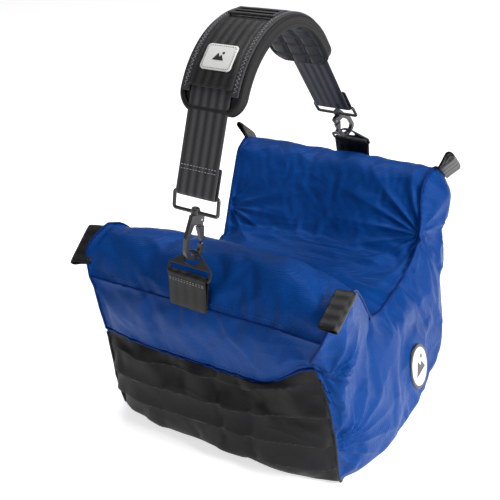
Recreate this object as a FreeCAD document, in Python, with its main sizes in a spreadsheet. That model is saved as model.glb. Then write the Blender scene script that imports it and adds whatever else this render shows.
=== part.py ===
import FreeCAD, Part
import math
import os
import Sketcher

# Saddle-shaped bead bag with a clip-on shoulder strap, in millimetres.
# Origin: centre of the bag's base, on the floor. +X right, -Y front, +Z up.
# The strap, its rings and its tabs are drawn in a strap frame of their own: x across the
# webbing, y along it from front to back, z up. That frame stands a little skewed on the bag.

DIMENSIONS = [
    ("base_half_width", 148.0),
    ("base_edge_radius", 24.0),
    ("side_foot_half_width", 170.0),
    ("side_foot_height", 18.0),
    ("side_bulge_radius", 150.0),
    ("lobe_half_width", 150.0),
    ("waist_height", 152.0),
    ("base_half_depth", 158.0),
    ("foot_half_depth", 172.0),
    ("foot_height", 16.0),
    ("foot_radius", 18.0),
    ("face_bulge_radius", 420.0),
    ("band_half_depth", 190.0),
    ("band_height", 138.0),
    ("band_bulge_radius", 110.0),
    ("lobe_centre_depth", 148.0),
    ("lobe_centre_height", 212.0),
    ("lobe_radius", 48.0),
    ("valley_slope", 50.0),
    ("valley_height", 146.0),
    ("base_panel_height", 7.0),
    ("fabric", 1.2),
    ("liner", 0.8),
    ("badge_radius", 29.0),
    ("badge_thickness", 1.6),
    ("badge_depth", 20.0),
    ("badge_height", 53.0),
    ("webbing_width", 50.0),
    ("webbing_thickness", 1.6),
    ("corner_loop_length", 28.0),
    ("corner_loop_gap", 9.0),
    ("corner_loop_slope", 37.0),
    ("zip_tape_width", 30.0),
    ("zip_tape_length", 220.0),
    ("zip_tape_thickness", 1.0),
    ("zip_teeth_width", 4.5),
    ("zip_teeth_thickness", 1.4),
    ("zip_height", 78.0),
    ("zip_slider_length", 11.0),
    ("zip_slider_gap", 0.5),
    ("zip_pull_length", 26.0),
    ("zip_pull_width", 8.0),
    ("strap_skew", -3.0),
    ("strap_shift", -4.0),
    ("arch_depth", -41.0),
    ("arch_height", 385.0),
    ("arch_radius", 105.0),
    ("front_leg_slope", 68.0),
    ("back_leg_slope", 52.0),
    ("front_leg_length", 95.0),
    ("back_leg_length", 143.0),
    ("fold_inner_radius", 2.4),
    ("fold_return_length", 30.0),
    ("loop_width", 60.0),
    ("loop_wire_radius", 2.0),
    ("loop_height", 19.0),
    ("loop_corner_radius", 3.0),
    ("boss_radius", 5.0),
    ("boss_height", 5.0),
    ("stud_radius", 2.2),
    ("stud_clearance", 0.06),
    ("stud_head_radius", 4.4),
    ("stud_head_height", 2.6),
    ("hook_thickness", 5.4),
    ("hook_half_opening", 7.6),
    ("hook_bow_width", 5.4),
    ("hook_bar_height", 47.0),
    ("front_hook_yaw", 12.0),
    ("back_hook_yaw", 24.0),
    ("gate_thickness", 1.9),
    ("gate_slot", 3.4),
    ("gate_hinge_side", 7.2),
    ("gate_hinge_height", 38.5),
    ("gate_pin_radius", 1.2),
    ("gate_pin_clearance", 0.06),
    ("bow_play", 1.8),
    ("front_hook_lean", 77.0),
    ("back_hook_lean", 49.0),
    ("ring_width", 57.0),
    ("ring_thickness", 2.4),
    ("ring_bar_height", 3.6),
    ("ring_wire_width", 3.2),
    ("ring_corner_radius", 3.0),
    ("ring_slot_height", 7.4),
    ("ring_shoulder_height", 9.5),
    ("ring_shoulder_angle", 52.5),
    ("ring_eye_width", 19.0),
    ("ring_eye_bottom", 12.0),
    ("ring_eye_top", 24.5),
    ("ring_top_bar", 4.0),
    ("front_ring_lean", 58.0),
    ("back_ring_lean", 52.0),
    ("tab_eye_radius", 2.8),
    ("tab_base_depth", 200.6),
    ("tab_base_height", 218.0),
    ("pad_width", 74.0),
    ("pad_front_run", 11.0),
    ("pad_back_run", 34.0),
    ("pad_channel", 2.4),
    ("pad_core_thickness", 6.0),
    ("pad_grip_thickness", 4.0),
    ("pad_sleeve_thickness", 1.5),
    ("pad_sleeve_width", 58.0),
    ("pad_binding_width", 3.0),
    ("pad_end_radius", 20.0),
    ("pad_window_angle", 22.0),
    ("pad_window_offset", -2.0),
    ("label_length", 28.0),
    ("label_width", 37.0),
    ("label_thickness", 1.0),
    ("label_angle", 44.0),
    ("slider_width", 57.0),
    ("slider_length", 24.0),
    ("slider_thickness", 3.0),
    ("slider_bar", 3.6),
    ("slider_lift", 1.0),
    ("pad_front_margin", 8.0),
]

doc = FreeCAD.newDocument("saddle_bag")
sheet = doc.addObject("Spreadsheet::Sheet", "Dimensions")
for row, (alias, size) in enumerate(DIMENSIONS, start=1):
    sheet.set(f"A{row}", alias.replace("_", " "))
    sheet.set(f"B{row}", str(size))
    sheet.setAlias(f"B{row}", alias)
doc.recompute()

SIDE_PLANE = FreeCAD.Rotation(FreeCAD.Vector(1, 1, 1), 120)
FRONT_PLANE = FreeCAD.Rotation(FreeCAD.Vector(1, 0, 0), 90)
X_AXIS = FreeCAD.Vector(1, 0, 0)
Y_AXIS = FreeCAD.Vector(0, 1, 0)
Z_AXIS = FreeCAD.Vector(0, 0, 1)
FAR = 400.0
parts = []


def dim(alias):
    return float(sheet.get(alias))


def cell(alias):
    return f"Dimensions.{alias}"


def number(expression):
    result = sheet.evalExpression(expression)
    return float(getattr(result, "Value", result))


def finish_part(obj, label, placement=None):
    obj.Label = label
    if placement is not None:
        obj.Placement = placement
    parts.append(obj)
    return obj


# Sketched outlines. A corner is (x, y), both expressions of the sheet. It may carry the
# radius of the arc that runs on to the next corner, and the side the arc swells to or,
# in place of the side, the arc's centre (x, y).


def swell_side(start, end, centre):
    """The side of the run from start to end that an arc about centre swells to."""
    turn = end.sub(start).cross(centre.sub(start)).z
    return "right" if turn > 0 else "left"


def arc_between(start, end, radius, side):
    chord = end.sub(start)
    half = chord.Length / 2
    drop = math.sqrt(max(radius * radius - half * half, 0.0))
    left = FreeCAD.Vector(-chord.y, chord.x, 0)
    left.normalize()
    middle = start.add(end).multiply(0.5)
    centre = middle.sub(left * drop) if side == "left" else middle.add(left * drop)
    first, last = (end, start) if side == "left" else (start, end)
    angles = [math.atan2(p.y - centre.y, p.x - centre.x) for p in (first, last)]
    return Part.ArcOfCircle(Part.Circle(centre, Z_AXIS, radius), angles[0], angles[1])


def draw_outline(sketch, corners):
    points = [FreeCAD.Vector(number(c[0]), number(c[1]), 0) for c in corners]
    edges = []
    for index, corner in enumerate(corners):
        start = points[index]
        end = points[(index + 1) % len(points)]
        if len(corner) == 2:
            edge = sketch.addGeometry(Part.LineSegment(start, end), False)
            edges.append((edge, 1, 2))
            continue
        radius, side = corner[2], corner[3]
        if isinstance(side, tuple):
            side = swell_side(start, end, FreeCAD.Vector(number(side[0]), number(side[1]), 0))
        edge = sketch.addGeometry(arc_between(start, end, number(radius), side), False)
        edges.append((edge, 2, 1) if side == "left" else (edge, 1, 2))
        limit = sketch.addConstraint(Sketcher.Constraint("Radius", edge, number(radius)))
        sketch.setExpression(f"Constraints[{limit}]", radius)
    for index, corner in enumerate(corners):
        edge, start_end, _ = edges[index]
        before, _, before_end = edges[index - 1]
        sketch.addConstraint(Sketcher.Constraint("Coincident", before, before_end, edge, start_end))
        for kind, expression in zip(("DistanceX", "DistanceY"), corner[:2]):
            place = Sketcher.Constraint(kind, -1, 1, edge, start_end, number(expression))
            limit = sketch.addConstraint(place)
            sketch.setExpression(f"Constraints[{limit}]", expression)


def draw_circle(sketch, x, y, radius):
    centre = FreeCAD.Vector(number(x), number(y), 0)
    edge = sketch.addGeometry(Part.Circle(centre, Z_AXIS, number(radius)), False)
    limit = sketch.addConstraint(Sketcher.Constraint("Radius", edge, number(radius)))
    sketch.setExpression(f"Constraints[{limit}]", radius)
    for kind, expression in (("DistanceX", x), ("DistanceY", y)):
        place = Sketcher.Constraint(kind, -1, 1, edge, 3, number(expression))
        limit = sketch.addConstraint(place)
        sketch.setExpression(f"Constraints[{limit}]", expression)


def rectangle(x_low, x_high, y_low, y_high):
    return [(x_low, y_low), (x_high, y_low), (x_high, y_high), (x_low, y_high)]


def free_sketch(name, rotation, corners):
    sketch = doc.addObject("Sketcher::SketchObject", name)
    sketch.Placement = FreeCAD.Placement(FreeCAD.Vector(), rotation)
    draw_outline(sketch, corners)
    return sketch


def new_body(label, placement=None):
    body = doc.addObject("PartDesign::Body", label)
    finish_part(body, label, placement)
    return body


def body_sketch(body, role, outlines=(), circles=(), lift=None):
    sketch = body.newObject("Sketcher::SketchObject", body.Name + "_sketch")
    plane = next(p for p in body.Origin.OriginFeatures if p.Role == role)
    sketch.AttachmentSupport = [(plane, "")]
    sketch.MapMode = "FlatFace"
    if lift is not None:
        sketch.setExpression("AttachmentOffset.Base.z", lift)
    for corners in outlines:
        draw_outline(sketch, corners)
    for circle in circles:
        draw_circle(sketch, *circle)
    return sketch


def pad(body, sketch, length, symmetric=True):
    feature = body.newObject("PartDesign::Pad", body.Name + "_pad")
    feature.Profile = sketch
    feature.setExpression("Length", length)
    if symmetric:
        feature.SideType = "Symmetric"
    doc.recompute()
    return feature


def pocket(body, sketch, length):
    before = body.Shape.Volume
    feature = body.newObject("PartDesign::Pocket", body.Name + "_pocket")
    feature.Profile = sketch
    feature.setExpression("Length", length)
    feature.SideType = "Symmetric"
    doc.recompute()
    if body.Shape.Volume >= before:
        raise RuntimeError(f"{body.Label}: a pocket cut nothing")
    return feature


def flat_rim(half):
    """Picks the edges that lie on a plate's two faces, at y = half and y = -half."""
    def keep(edge):
        ends = (edge.CenterOfMass, edge.valueAt(edge.FirstParameter))
        return all(abs(abs(point.y) - half) < 0.05 for point in ends)
    return keep


def round_edges(body, radius, keep):
    """Fillet the edges of the body's tip that keep(edge) accepts."""
    base = body.Tip
    names = [f"Edge{i}" for i, edge in enumerate(base.Shape.Edges, start=1) if keep(edge)]
    fillet = body.newObject("PartDesign::Fillet", body.Name + "_fillet")
    fillet.Base = (base, names)
    fillet.Radius = radius
    doc.recompute()
    return fillet


def extrude(name, sketch, direction, length):
    solid = doc.addObject("Part::Extrusion", name)
    solid.Base = sketch
    solid.DirMode = "Custom"
    solid.Dir = direction
    solid.Symmetric = True
    solid.Solid = True
    solid.LengthFwd = length
    return solid


def offset_outline(name, sketch, distance):
    outline = doc.addObject("Part::Offset2D", name)
    outline.Source = sketch
    outline.Join = 0
    outline.setExpression("Value", distance)
    return outline


def boolean(kind, name, base, tool):
    result = doc.addObject(f"Part::{kind}", name)
    result.Base = base
    result.Tool = tool
    return result


def block(name, spans):
    """A box from six expressions: low and high along X, Y and Z."""
    box = doc.addObject("Part::Box", name)
    for axis, size, (low, high) in zip("xyz", ("Length", "Width", "Height"), spans):
        box.setExpression(f"Placement.Base.{axis}", low)
        box.setExpression(size, f"({high}) - ({low})")
    return box


# ---------------------------------------------------------------- bag outlines


def mirrored(half):
    """Close a half outline, drawn from the middle of its bottom to its top, about x = 0."""
    whole = list(half)
    for index in range(len(half) - 1, 0, -1):
        corner = half[index]
        arc = tuple(half[index - 1][2:])
        if corner[0] == "0":
            whole[index] = corner + arc
        else:
            whole.append((f"-({corner[0]})", corner[1]) + arc)
    return whole


lobe_x, lobe_z, lobe_r = cell("lobe_centre_depth"), cell("lobe_centre_height"), cell("lobe_radius")
slope, valley_z = cell("valley_slope"), cell("valley_height")
slope_x = f"{lobe_x} - {lobe_r} * sin({slope})"
slope_z = f"{lobe_z} + {lobe_r} * cos({slope})"
valley_r = f"(tan({slope}) * ({slope_x}) - ({slope_z}) + {valley_z}) / (1 / cos({slope}) - 1)"
side_half = [
    ("0", "0"),
    (cell("base_half_depth"), "0", cell("foot_radius"), "right"),
    (cell("foot_half_depth"), cell("foot_height"), cell("face_bulge_radius"), "right"),
    (cell("band_half_depth"), cell("band_height"), cell("band_bulge_radius"), "right"),
    (f"{lobe_x} + {lobe_r}", lobe_z, lobe_r, "right"),
    (lobe_x, f"{lobe_z} + {lobe_r}", lobe_r, "right"),
    (slope_x, slope_z),
    (f"({valley_r}) * sin({slope})", f"{valley_z} + ({valley_r}) * (1 - cos({slope}))", valley_r, "left"),
    ("0", valley_z),
]
side_outline = free_sketch("side_outline", SIDE_PLANE, mirrored(side_half))

front_half = [
    ("0", "0"),
    (cell("base_half_width"), "0", cell("base_edge_radius"), "right"),
    (cell("side_foot_half_width"), cell("side_foot_height"), cell("side_bulge_radius"), "right"),
    (cell("lobe_half_width"), cell("waist_height")),
    (cell("lobe_half_width"), f"{lobe_z} + 2 * {lobe_r}"),
]
front_outline = free_sketch("front_outline", FRONT_PLANE, mirrored(front_half))
doc.recompute()


def bag_solid(name, inset):
    """The bag's form, moved inwards by an expression, or outwards where it is negative."""
    outlines = [side_outline, front_outline]
    if inset != "0":
        outlines = [offset_outline(f"{name}_{o.Name}", o, f"-({inset})") for o in outlines]
    along = extrude(f"{name}_along", outlines[0], X_AXIS, 2 * FAR)
    across = extrude(f"{name}_across", outlines[1], Y_AXIS, 2 * FAR)
    return boolean("Common", name, along, across)


fabric, liner = cell("fabric"), cell("liner")
outer = bag_solid("bag_outer", "0")
inner = bag_solid("bag_inner", fabric)
core = bag_solid("bag_core", f"{fabric} + {liner}")
shell = boolean("Cut", "bag_shell", outer, inner)


# ---------------------------------------------------------------- bag panels

far = str(FAR)
skin = f"{cell('lobe_half_width')} - {fabric}"
seam_z, band_z, base_z = lobe_z, cell("band_height"), cell("base_panel_height")
wall_y = f"{lobe_x} - 10"
wrap = boolean("Common", "bag_wrap", shell, block("wrap_span", [
    (f"-({skin})", skin), (f"-{far}", far), ("0", far)]))
sides = boolean("Cut", "bag_sides", shell, wrap)

walls = {
    "base_panel": [(f"-{far}", far), (f"-{far}", far), ("-1", base_z)],
    "front_lower_panel": [(f"-{far}", far), (f"-{far}", f"-({wall_y})"), (base_z, band_z)],
    "front_band": [(f"-{far}", far), (f"-{far}", f"-({wall_y})"), (band_z, seam_z)],
    "back_lower_panel": [(f"-{far}", far), (wall_y, far), (base_z, band_z)],
    "back_band": [(f"-{far}", far), (wall_y, far), (band_z, seam_z)],
}
cutters = []
for label, spans in walls.items():
    cutter = block(f"{label}_span", spans)
    cutters.append(cutter)
    finish_part(boolean("Common", label, wrap, cutter), label)
all_walls = doc.addObject("Part::MultiFuse", "all_wall_spans")
all_walls.Shapes = cutters
finish_part(boolean("Cut", "top_panel", wrap, all_walls), "top_panel")
for label, low, high in (("left_side_panel", f"-{far}", "0"), ("right_side_panel", "0", far)):
    half = block(f"{label}_span", [(low, high), (f"-{far}", far), ("0", far)])
    finish_part(boolean("Common", label, sides, half), label)
finish_part(boolean("Cut", "inner_liner", inner, core), "inner_liner")
finish_part(core, "bead_fill")


def layer(name, outline, direction, low, high):
    """A layer on the bag's outside, between two heights above the cloth."""
    near = outline if low == "0" else offset_outline(f"{name}_near", outline, low)
    top = extrude(f"{name}_top", offset_outline(f"{name}_far", outline, high), direction, 2 * FAR)
    return boolean("Cut", f"{name}_layer", top, extrude(f"{name}_under", near, direction, 2 * FAR))


badge_disc = doc.addObject("Part::Cylinder", "badge_disc")
badge_disc.setExpression("Radius", cell("badge_radius"))
badge_disc.Height = FAR
badge_disc.Placement = FreeCAD.Placement(FreeCAD.Vector(), FreeCAD.Rotation(Y_AXIS, 90))
badge_disc.setExpression("Placement.Base.y", cell("badge_depth"))
badge_disc.setExpression("Placement.Base.z", cell("badge_height"))
badge_layer = layer("badge", front_outline, Y_AXIS, "0", cell("badge_thickness"))
finish_part(boolean("Common", "side_badge", badge_layer, badge_disc), "side_badge")

tape, teeth = cell("zip_tape_thickness"), cell("zip_teeth_thickness")
zip_z = cell("zip_height")
tape_half, teeth_half = f"{cell('zip_tape_width')} / 2", f"{cell('zip_teeth_width')} / 2"
zip_end = f"{cell('zip_tape_length')} / 2"
zip_parts = {
    "fill_zip_tape": ("0", tape, zip_end, tape_half),
    "fill_zip_teeth": (tape, f"{tape} + {teeth}", f"{zip_end} - {teeth_half}", teeth_half),
}
for label, (low, high, reach, half) in zip_parts.items():
    span = block(f"{label}_span", [
        (f"-({reach})", reach), ("0", far), (f"{zip_z} - {half}", f"{zip_z} + {half}")])
    strip = layer(label, side_outline, X_AXIS, low, high)
    finish_part(boolean("Common", label, strip, span), label)
doc.recompute()

# ---------------------------------------------------------------- zip slider and pull


def back_wall_depth(height):
    start, end = FreeCAD.Vector(0, 0, height), FreeCAD.Vector(0, FAR, height)
    return Part.makeLine(start, end).common(outer.Shape).BoundBox.YMax


ZIP_REST_X = 92.0
rise = dim("zip_tape_width") / 2
lean_run = back_wall_depth(dim("zip_height") + rise) - back_wall_depth(dim("zip_height") - rise)
wall_lean = math.degrees(math.atan2(lean_run, 2 * rise))
zip_place = FreeCAD.Placement(
    FreeCAD.Vector(ZIP_REST_X, back_wall_depth(dim("zip_height")), dim("zip_height")),
    FreeCAD.Rotation(X_AXIS, -wall_lean))

gap = cell("zip_slider_gap")
flank_in = f"{teeth_half} + {gap}"
flank_out = f"{flank_in} + 1.5"
shoe = f"{tape} + {gap}"
plate_in = f"{tape} + {teeth} + {gap}"
plate_out = f"{plate_in} + 1.2"
bail_axis = f"{plate_out} + 1.5"
bail_hole, bail_outside = "1.5", "2.9"
slider = new_body("fill_zip_slider", zip_place)
channel = body_sketch(slider, "YZ_Plane", [[
    (shoe, f"-({flank_out})"), (plate_out, f"-({flank_out})"), (plate_out, flank_out),
    (shoe, flank_out), (shoe, flank_in), (plate_in, flank_in),
    (plate_in, f"-({flank_in})"), (shoe, f"-({flank_in})")]])
pad(slider, channel, cell("zip_slider_length"))
bail_centre = (bail_axis, "0")
bail = body_sketch(slider, "YZ_Plane", [[
    (plate_out, f"-{bail_outside}"), (bail_axis, f"-{bail_outside}", bail_outside, bail_centre),
    (f"{bail_axis} + {bail_outside}", "0", bail_outside, bail_centre), (bail_axis, bail_outside),
    (plate_out, bail_outside), (plate_out, bail_hole), (bail_axis, bail_hole, bail_hole, bail_centre),
    (f"{bail_axis} + {bail_hole}", "0", bail_hole, bail_centre), (bail_axis, f"-{bail_hole}"),
    (plate_out, f"-{bail_hole}")]])
pad(slider, bail, "2.4")

pull_place = zip_place.multiply(FreeCAD.Placement(
    FreeCAD.Vector(0, number(bail_axis), 0), FreeCAD.Rotation()))
pull = new_body("fill_zip_pull", pull_place)
pull_half, pull_foot = f"{cell('zip_pull_width')} / 2", f"-{cell('zip_pull_length')}"
pull_sketch = body_sketch(pull, "XZ_Plane", [
    [(f"-({pull_half}) + 1", "1.2"), (f"-({pull_half})", pull_foot),
     (pull_half, pull_foot), (f"{pull_half} - 1", "1.2")],
    rectangle("-2.2", "2.2", "-7.5", "-1.2")])
pad(pull, pull_sketch, "1.6")
round_edges(pull, 2.5, lambda e: abs(e.tangentAt(e.FirstParameter).y) > 0.9
            and e.CenterOfMass.z < -dim("zip_pull_length") + 1)

# ---------------------------------------------------------------- folded webbing


def webbing_eye(label, placement, length, eye_radius):
    """Webbing folded into a loop: both ends sewn at the origin, the eye's centre on +x."""
    ply = cell("webbing_thickness")
    outside = f"{eye_radius} + {ply}"
    centre = (length, "0")
    body = new_body(label, placement)
    sketch = body_sketch(body, "XZ_Plane", [
        [("0", f"-({ply})"), (length, f"-({outside})", outside, centre),
         (f"{length} + {outside}", "0", outside, centre), (length, outside), ("0", ply)],
        [("6", "0"), (length, f"-({eye_radius})", eye_radius, centre),
         (f"{length} + {eye_radius}", "0", eye_radius, centre), (length, eye_radius)]])
    pad(body, sketch, cell("webbing_width"))
    return body


def axes_placement(origin, along, normal):
    """Local x along one direction and local z along another, square to it."""
    along.normalize()
    normal.normalize()
    turn = FreeCAD.Rotation(along, normal.cross(along), normal, "XZY")
    return FreeCAD.Placement(origin, turn)


CORNER_LOOPS = {
    "front_left_loop": (-1, -1, 0.0, 2.4),
    "front_right_loop": (1, -1, 0.0, 2.4),
    "back_left_loop": (-1, 1, 55.0, 0.0),
    "back_right_loop": (1, 1, 55.0, 0.0),
}
loop_eye = cell("corner_loop_gap") + " / 2"
loop_reach = f"{cell('corner_loop_length')} - {loop_eye} - {cell('webbing_thickness')}"
tilt_from_top = math.radians(dim("corner_loop_slope"))
for label, (side, end, tilt, inset) in CORNER_LOOPS.items():
    outwards = FreeCAD.Vector(0, end * math.sin(tilt_from_top), math.cos(tilt_from_top))
    origin = FreeCAD.Vector(
        side * dim("lobe_half_width"), end * dim("lobe_centre_depth"), dim("lobe_centre_height"))
    origin = origin.add(outwards * (dim("lobe_radius") - inset))
    lift = math.radians(tilt)
    along = X_AXIS * (side * math.cos(lift)) + outwards * math.sin(lift)
    normal = outwards * math.cos(lift) - X_AXIS * (side * math.sin(lift))
    webbing_eye(label, axes_placement(origin, along, normal), loop_reach, loop_eye)

# ---------------------------------------------------------------- strap frame

strap_frame = FreeCAD.Placement(
    FreeCAD.Vector(dim("strap_shift"), 0, 0), FreeCAD.Rotation(Z_AXIS, dim("strap_skew")))
arch_y, arch_z, arch_r = cell("arch_depth"), cell("arch_height"), cell("arch_radius")
LEGS = {"front": (-1, cell("front_leg_slope")), "back": (1, cell("back_leg_slope"))}


def on_arch(angle, height):
    """A point of the arch, by the angle from its top towards the back."""
    return (f"{arch_y} + ({arch_r} + {height}) * sin({angle})",
            f"{arch_z} + ({arch_r} + {height}) * cos({angle})")


def on_leg(end, run, height):
    """A point of a straight leg, run millimetres below the arch."""
    sign, leg = LEGS[end]
    return (f"{arch_y} + {sign} * (({arch_r} + {height}) * sin({leg}) + ({run}) * cos({leg}))",
            f"{arch_z} + ({arch_r} + {height}) * cos({leg}) - ({run}) * sin({leg})")


def arc_corner(point, radius, centre):
    return point + (radius, centre)


def arch_strip(front_run, back_run, low, high):
    centre = (arch_y, arch_z)
    return [
        on_leg("front", front_run, low),
        arc_corner(on_leg("front", "0", low), f"{arch_r} + {low}", centre),
        on_leg("back", "0", low),
        on_leg("back", back_run, low),
        on_leg("back", back_run, high),
        arc_corner(on_leg("back", "0", high), f"{arch_r} + {high}", centre),
        on_leg("front", "0", high),
        on_leg("front", front_run, high),
    ]


def numbers(point):
    return FreeCAD.Vector(0, number(point[0]), number(point[1]))


half_ply = f"{cell('webbing_thickness')} / 2"
fold_r = cell("fold_inner_radius")
fold_out = f"{fold_r} + {cell('webbing_thickness')}"
fold_back = cell("fold_return_length")


def hairpin(end, face):
    """One end of the webbing, from its face on the arch's inside (face -1) or outside (1)."""
    leg = cell(f"{end}_leg_length")
    turn = -1 if end == "front" else 1
    centre = on_leg(end, leg, f"{turn} * ({fold_r} + {half_ply})")
    near = f"{turn} * ({half_ply})"
    inside = f"{turn} * (2 * {fold_r} + {half_ply})"
    outside = f"{turn} * (2 * {fold_r} + 3 * {half_ply})"
    middle = f"{turn} * ({fold_r} + {half_ply})"
    inner = [
        arc_corner(on_leg(end, leg, near), fold_r, centre),
        arc_corner(on_leg(end, f"{leg} + {fold_r}", middle), fold_r, centre),
        on_leg(end, leg, inside),
        on_leg(end, f"{leg} - {fold_back}", inside),
    ]
    outer_face = [
        on_leg(end, f"{leg} - {fold_back}", outside),
        arc_corner(on_leg(end, leg, outside), fold_out, centre),
        arc_corner(on_leg(end, f"{leg} + {fold_out}", middle), fold_out, centre),
        on_leg(end, leg, f"-({near})"),
    ]
    return inner + outer_face if face == turn else reverse(inner + outer_face)


def reverse(corners):
    """The same corners the other way round, each arc still between its own two."""
    result = []
    for index in range(len(corners) - 1, -1, -1):
        arc = tuple(corners[index - 1][2:]) if index > 0 else ()
        result.append(tuple(corners[index][:2]) + arc)
    return result


def fold_centre(end):
    turn = -1 if end == "front" else 1
    return on_leg(end, cell(f"{end}_leg_length"), f"{turn} * ({fold_r} + {half_ply})")


arch_centre = (arch_y, arch_z)
webbing_corners = hairpin("back", -1)
webbing_corners.append(arc_corner(on_leg("back", "0", half_ply), f"{arch_r} + {half_ply}", arch_centre))
webbing_corners.append(on_leg("front", "0", half_ply))
webbing_corners += hairpin("front", 1)
webbing_corners.append(
    arc_corner(on_leg("front", "0", f"-{half_ply}"), f"{arch_r} - {half_ply}", arch_centre))
webbing_corners.append(on_leg("back", "0", f"-{half_ply}"))
webbing = new_body("strap_webbing", strap_frame)
pad(webbing, body_sketch(webbing, "YZ_Plane", [webbing_corners]), cell("webbing_width"))

# ---------------------------------------------------------------- rings, hooks and loops


def in_strap_frame(origin, x_axis, z_axis):
    turn = FreeCAD.Rotation(x_axis, z_axis.cross(x_axis), z_axis, "ZXY")
    return strap_frame.multiply(FreeCAD.Placement(origin, turn))


def rising(end, lean):
    """The direction up from the bag towards the arch, lean degrees above the horizontal."""
    towards = 1 if end == "front" else -1
    angle = math.radians(lean)
    return FreeCAD.Vector(0, towards * math.cos(angle), math.sin(angle))


def hardware_places(end):
    """Placements of a strap end's loop, hook and ring, and the ring bar's centre."""
    towards = 1 if end == "front" else -1
    hook_up = rising(end, dim(f"{end}_hook_lean"))
    ring_up = rising(end, dim(f"{end}_ring_lean"))
    upper_bar = numbers(fold_centre(end))
    lower_bar = upper_bar.sub(hook_up * dim("loop_height"))
    bow = lower_bar.sub(hook_up * dim("hook_bar_height"))
    bow_middle = bow.sub(hook_up * (dim("hook_bow_width") / 2))
    ring_reach = dim("ring_eye_top") - dim("bow_play") - dim("hook_bow_width") / 2
    ring_bar = bow_middle.sub(ring_up * ring_reach)
    gate_side = FreeCAD.Vector(0, towards * hook_up.z, -towards * hook_up.y)
    yaw = math.radians(dim(f"{end}_hook_yaw"))
    hook_x = gate_side * math.cos(yaw) + X_AXIS * (towards * math.sin(yaw))
    return {
        "loop": in_strap_frame(upper_bar, X_AXIS * towards, hook_up),
        "hook": in_strap_frame(bow, hook_x, hook_up),
        "ring": in_strap_frame(ring_bar, X_AXIS * towards, ring_up),
        "ring_bar": ring_bar,
        "bow_middle": bow_middle,
    }


bar_z, wire_r = cell("hook_bar_height"), cell("loop_wire_radius")
boss_half = f"{cell('boss_height')} / 2"
stud_r, pin_r = cell("stud_radius"), cell("gate_pin_radius")
head_top = f"{bar_z} - {boss_half} - 0.2"
PIVOT = (cell("gate_hinge_side"), cell("gate_hinge_height"))
HARDWARE_ROUND, GATE_ROUND = 0.9, 0.7


def strap_loop(end, place):
    """A rectangular wire loop that carries the webbing, with a boss for the swivel."""
    body = new_body(f"{end}_strap_loop", place)
    half, corner = f"{cell('loop_width')} / 2 - {wire_r}", cell("loop_corner_radius")
    low = f"-{cell('loop_height')}"
    centres = [(f"{x}({half} - {corner})", z) for x, z in (
        ("", f"-{corner}"), ("-", f"-{corner}"), ("-", f"{low} + {corner}"), ("", f"{low} + {corner}"))]
    path = [
        (half, f"-{corner}", corner, centres[0]), (f"{half} - {corner}", "0"),
        (f"-({half} - {corner})", "0", corner, centres[1]), (f"-({half})", f"-{corner}"),
        (f"-({half})", f"{low} + {corner}", corner, centres[2]), (f"-({half} - {corner})", low),
        (f"{half} - {corner}", low, corner, centres[3]), (half, f"{low} + {corner}")]
    spine = body_sketch(body, "XZ_Plane", [path])
    section = body_sketch(body, "YZ_Plane", circles=[("0", "0", wire_r)])
    doc.recompute()
    wire = body.newObject("PartDesign::AdditivePipe", body.Name + "_wire")
    wire.Profile = section
    wire.Spine = spine
    doc.recompute()
    boss = body_sketch(body, "XY_Plane", circles=[("0", "0", cell("boss_radius"))], lift=low)
    pad(body, boss, cell("boss_height"))
    bore_r = f"{stud_r} + {cell('stud_clearance')}"
    bore = body_sketch(body, "XY_Plane", circles=[("0", "0", bore_r)], lift=low)
    pocket(body, bore, f"{cell('boss_height')} + 2")


def swivel_stud(end, place):
    """The headed stud that lets the hook turn under the loop."""
    body = new_body(f"{end}_swivel_stud", place)
    shank_foot, shank_top = f"{head_top} - 5", f"{bar_z} + {boss_half} + 0.2"
    profile = [
        ("0", shank_foot), (stud_r, shank_foot), (stud_r, shank_top),
        (cell("stud_head_radius"), shank_top),
        (cell("stud_head_radius"), f"{shank_top} + {cell('stud_head_height')} - 1"),
        (f"{cell('stud_head_radius')} - 1.2", f"{shank_top} + {cell('stud_head_height')}"),
        ("0", f"{shank_top} + {cell('stud_head_height')}")]
    sketch = body_sketch(body, "XZ_Plane", [profile])
    turned = body.newObject("PartDesign::Revolution", body.Name + "_turned")
    turned.Profile = sketch
    turned.ReferenceAxis = (sketch, ["V_Axis"])
    turned.Angle = 360
    doc.recompute()


def hook_body(end, place):
    """The hook: a round bow, a spine that widens to the head, and a slot for the gate."""
    body = new_body(f"{end}_hook_body", place)
    opening, bow_w = cell("hook_half_opening"), cell("hook_bow_width")
    outside = f"{opening} + {bow_w}"
    centre = ("0", opening)
    outline = [
        (opening, "11.5"), (opening, opening, opening, centre), ("0", "0", opening, centre),
        (f"-({opening})", opening), (f"-({opening})", "21"), ("-2.4", "33"), ("8", "33"),
        ("11.4", "36"), ("11.2", "41.5"), ("7.5", head_top), ("-6.5", head_top), ("-7.6", "39"),
        (f"-({outside})", "20"), (f"-({outside})", opening, outside, centre),
        ("0", f"-({bow_w})", outside, centre), (outside, opening), (outside, "11"), ("10", "13.4")]
    pad(body, body_sketch(body, "XZ_Plane", [outline]), cell("hook_thickness"))
    slot = body_sketch(body, "XZ_Plane", [[
        ("3.2", "46"), ("3.2", "37.5"), ("0.2", "32"), ("14", "32"), ("14", "46")]])
    pocket(body, slot, cell("gate_slot"))
    bore = body_sketch(body, "XY_Plane", circles=[("0", "0", stud_r)], lift=head_top)
    pocket(body, bore, "10")
    pin_bore = body_sketch(body, "XZ_Plane", circles=[PIVOT + (pin_r,)])
    pocket(body, pin_bore, "20")
    round_edges(body, HARDWARE_ROUND, flat_rim(dim("hook_thickness") / 2))


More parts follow.
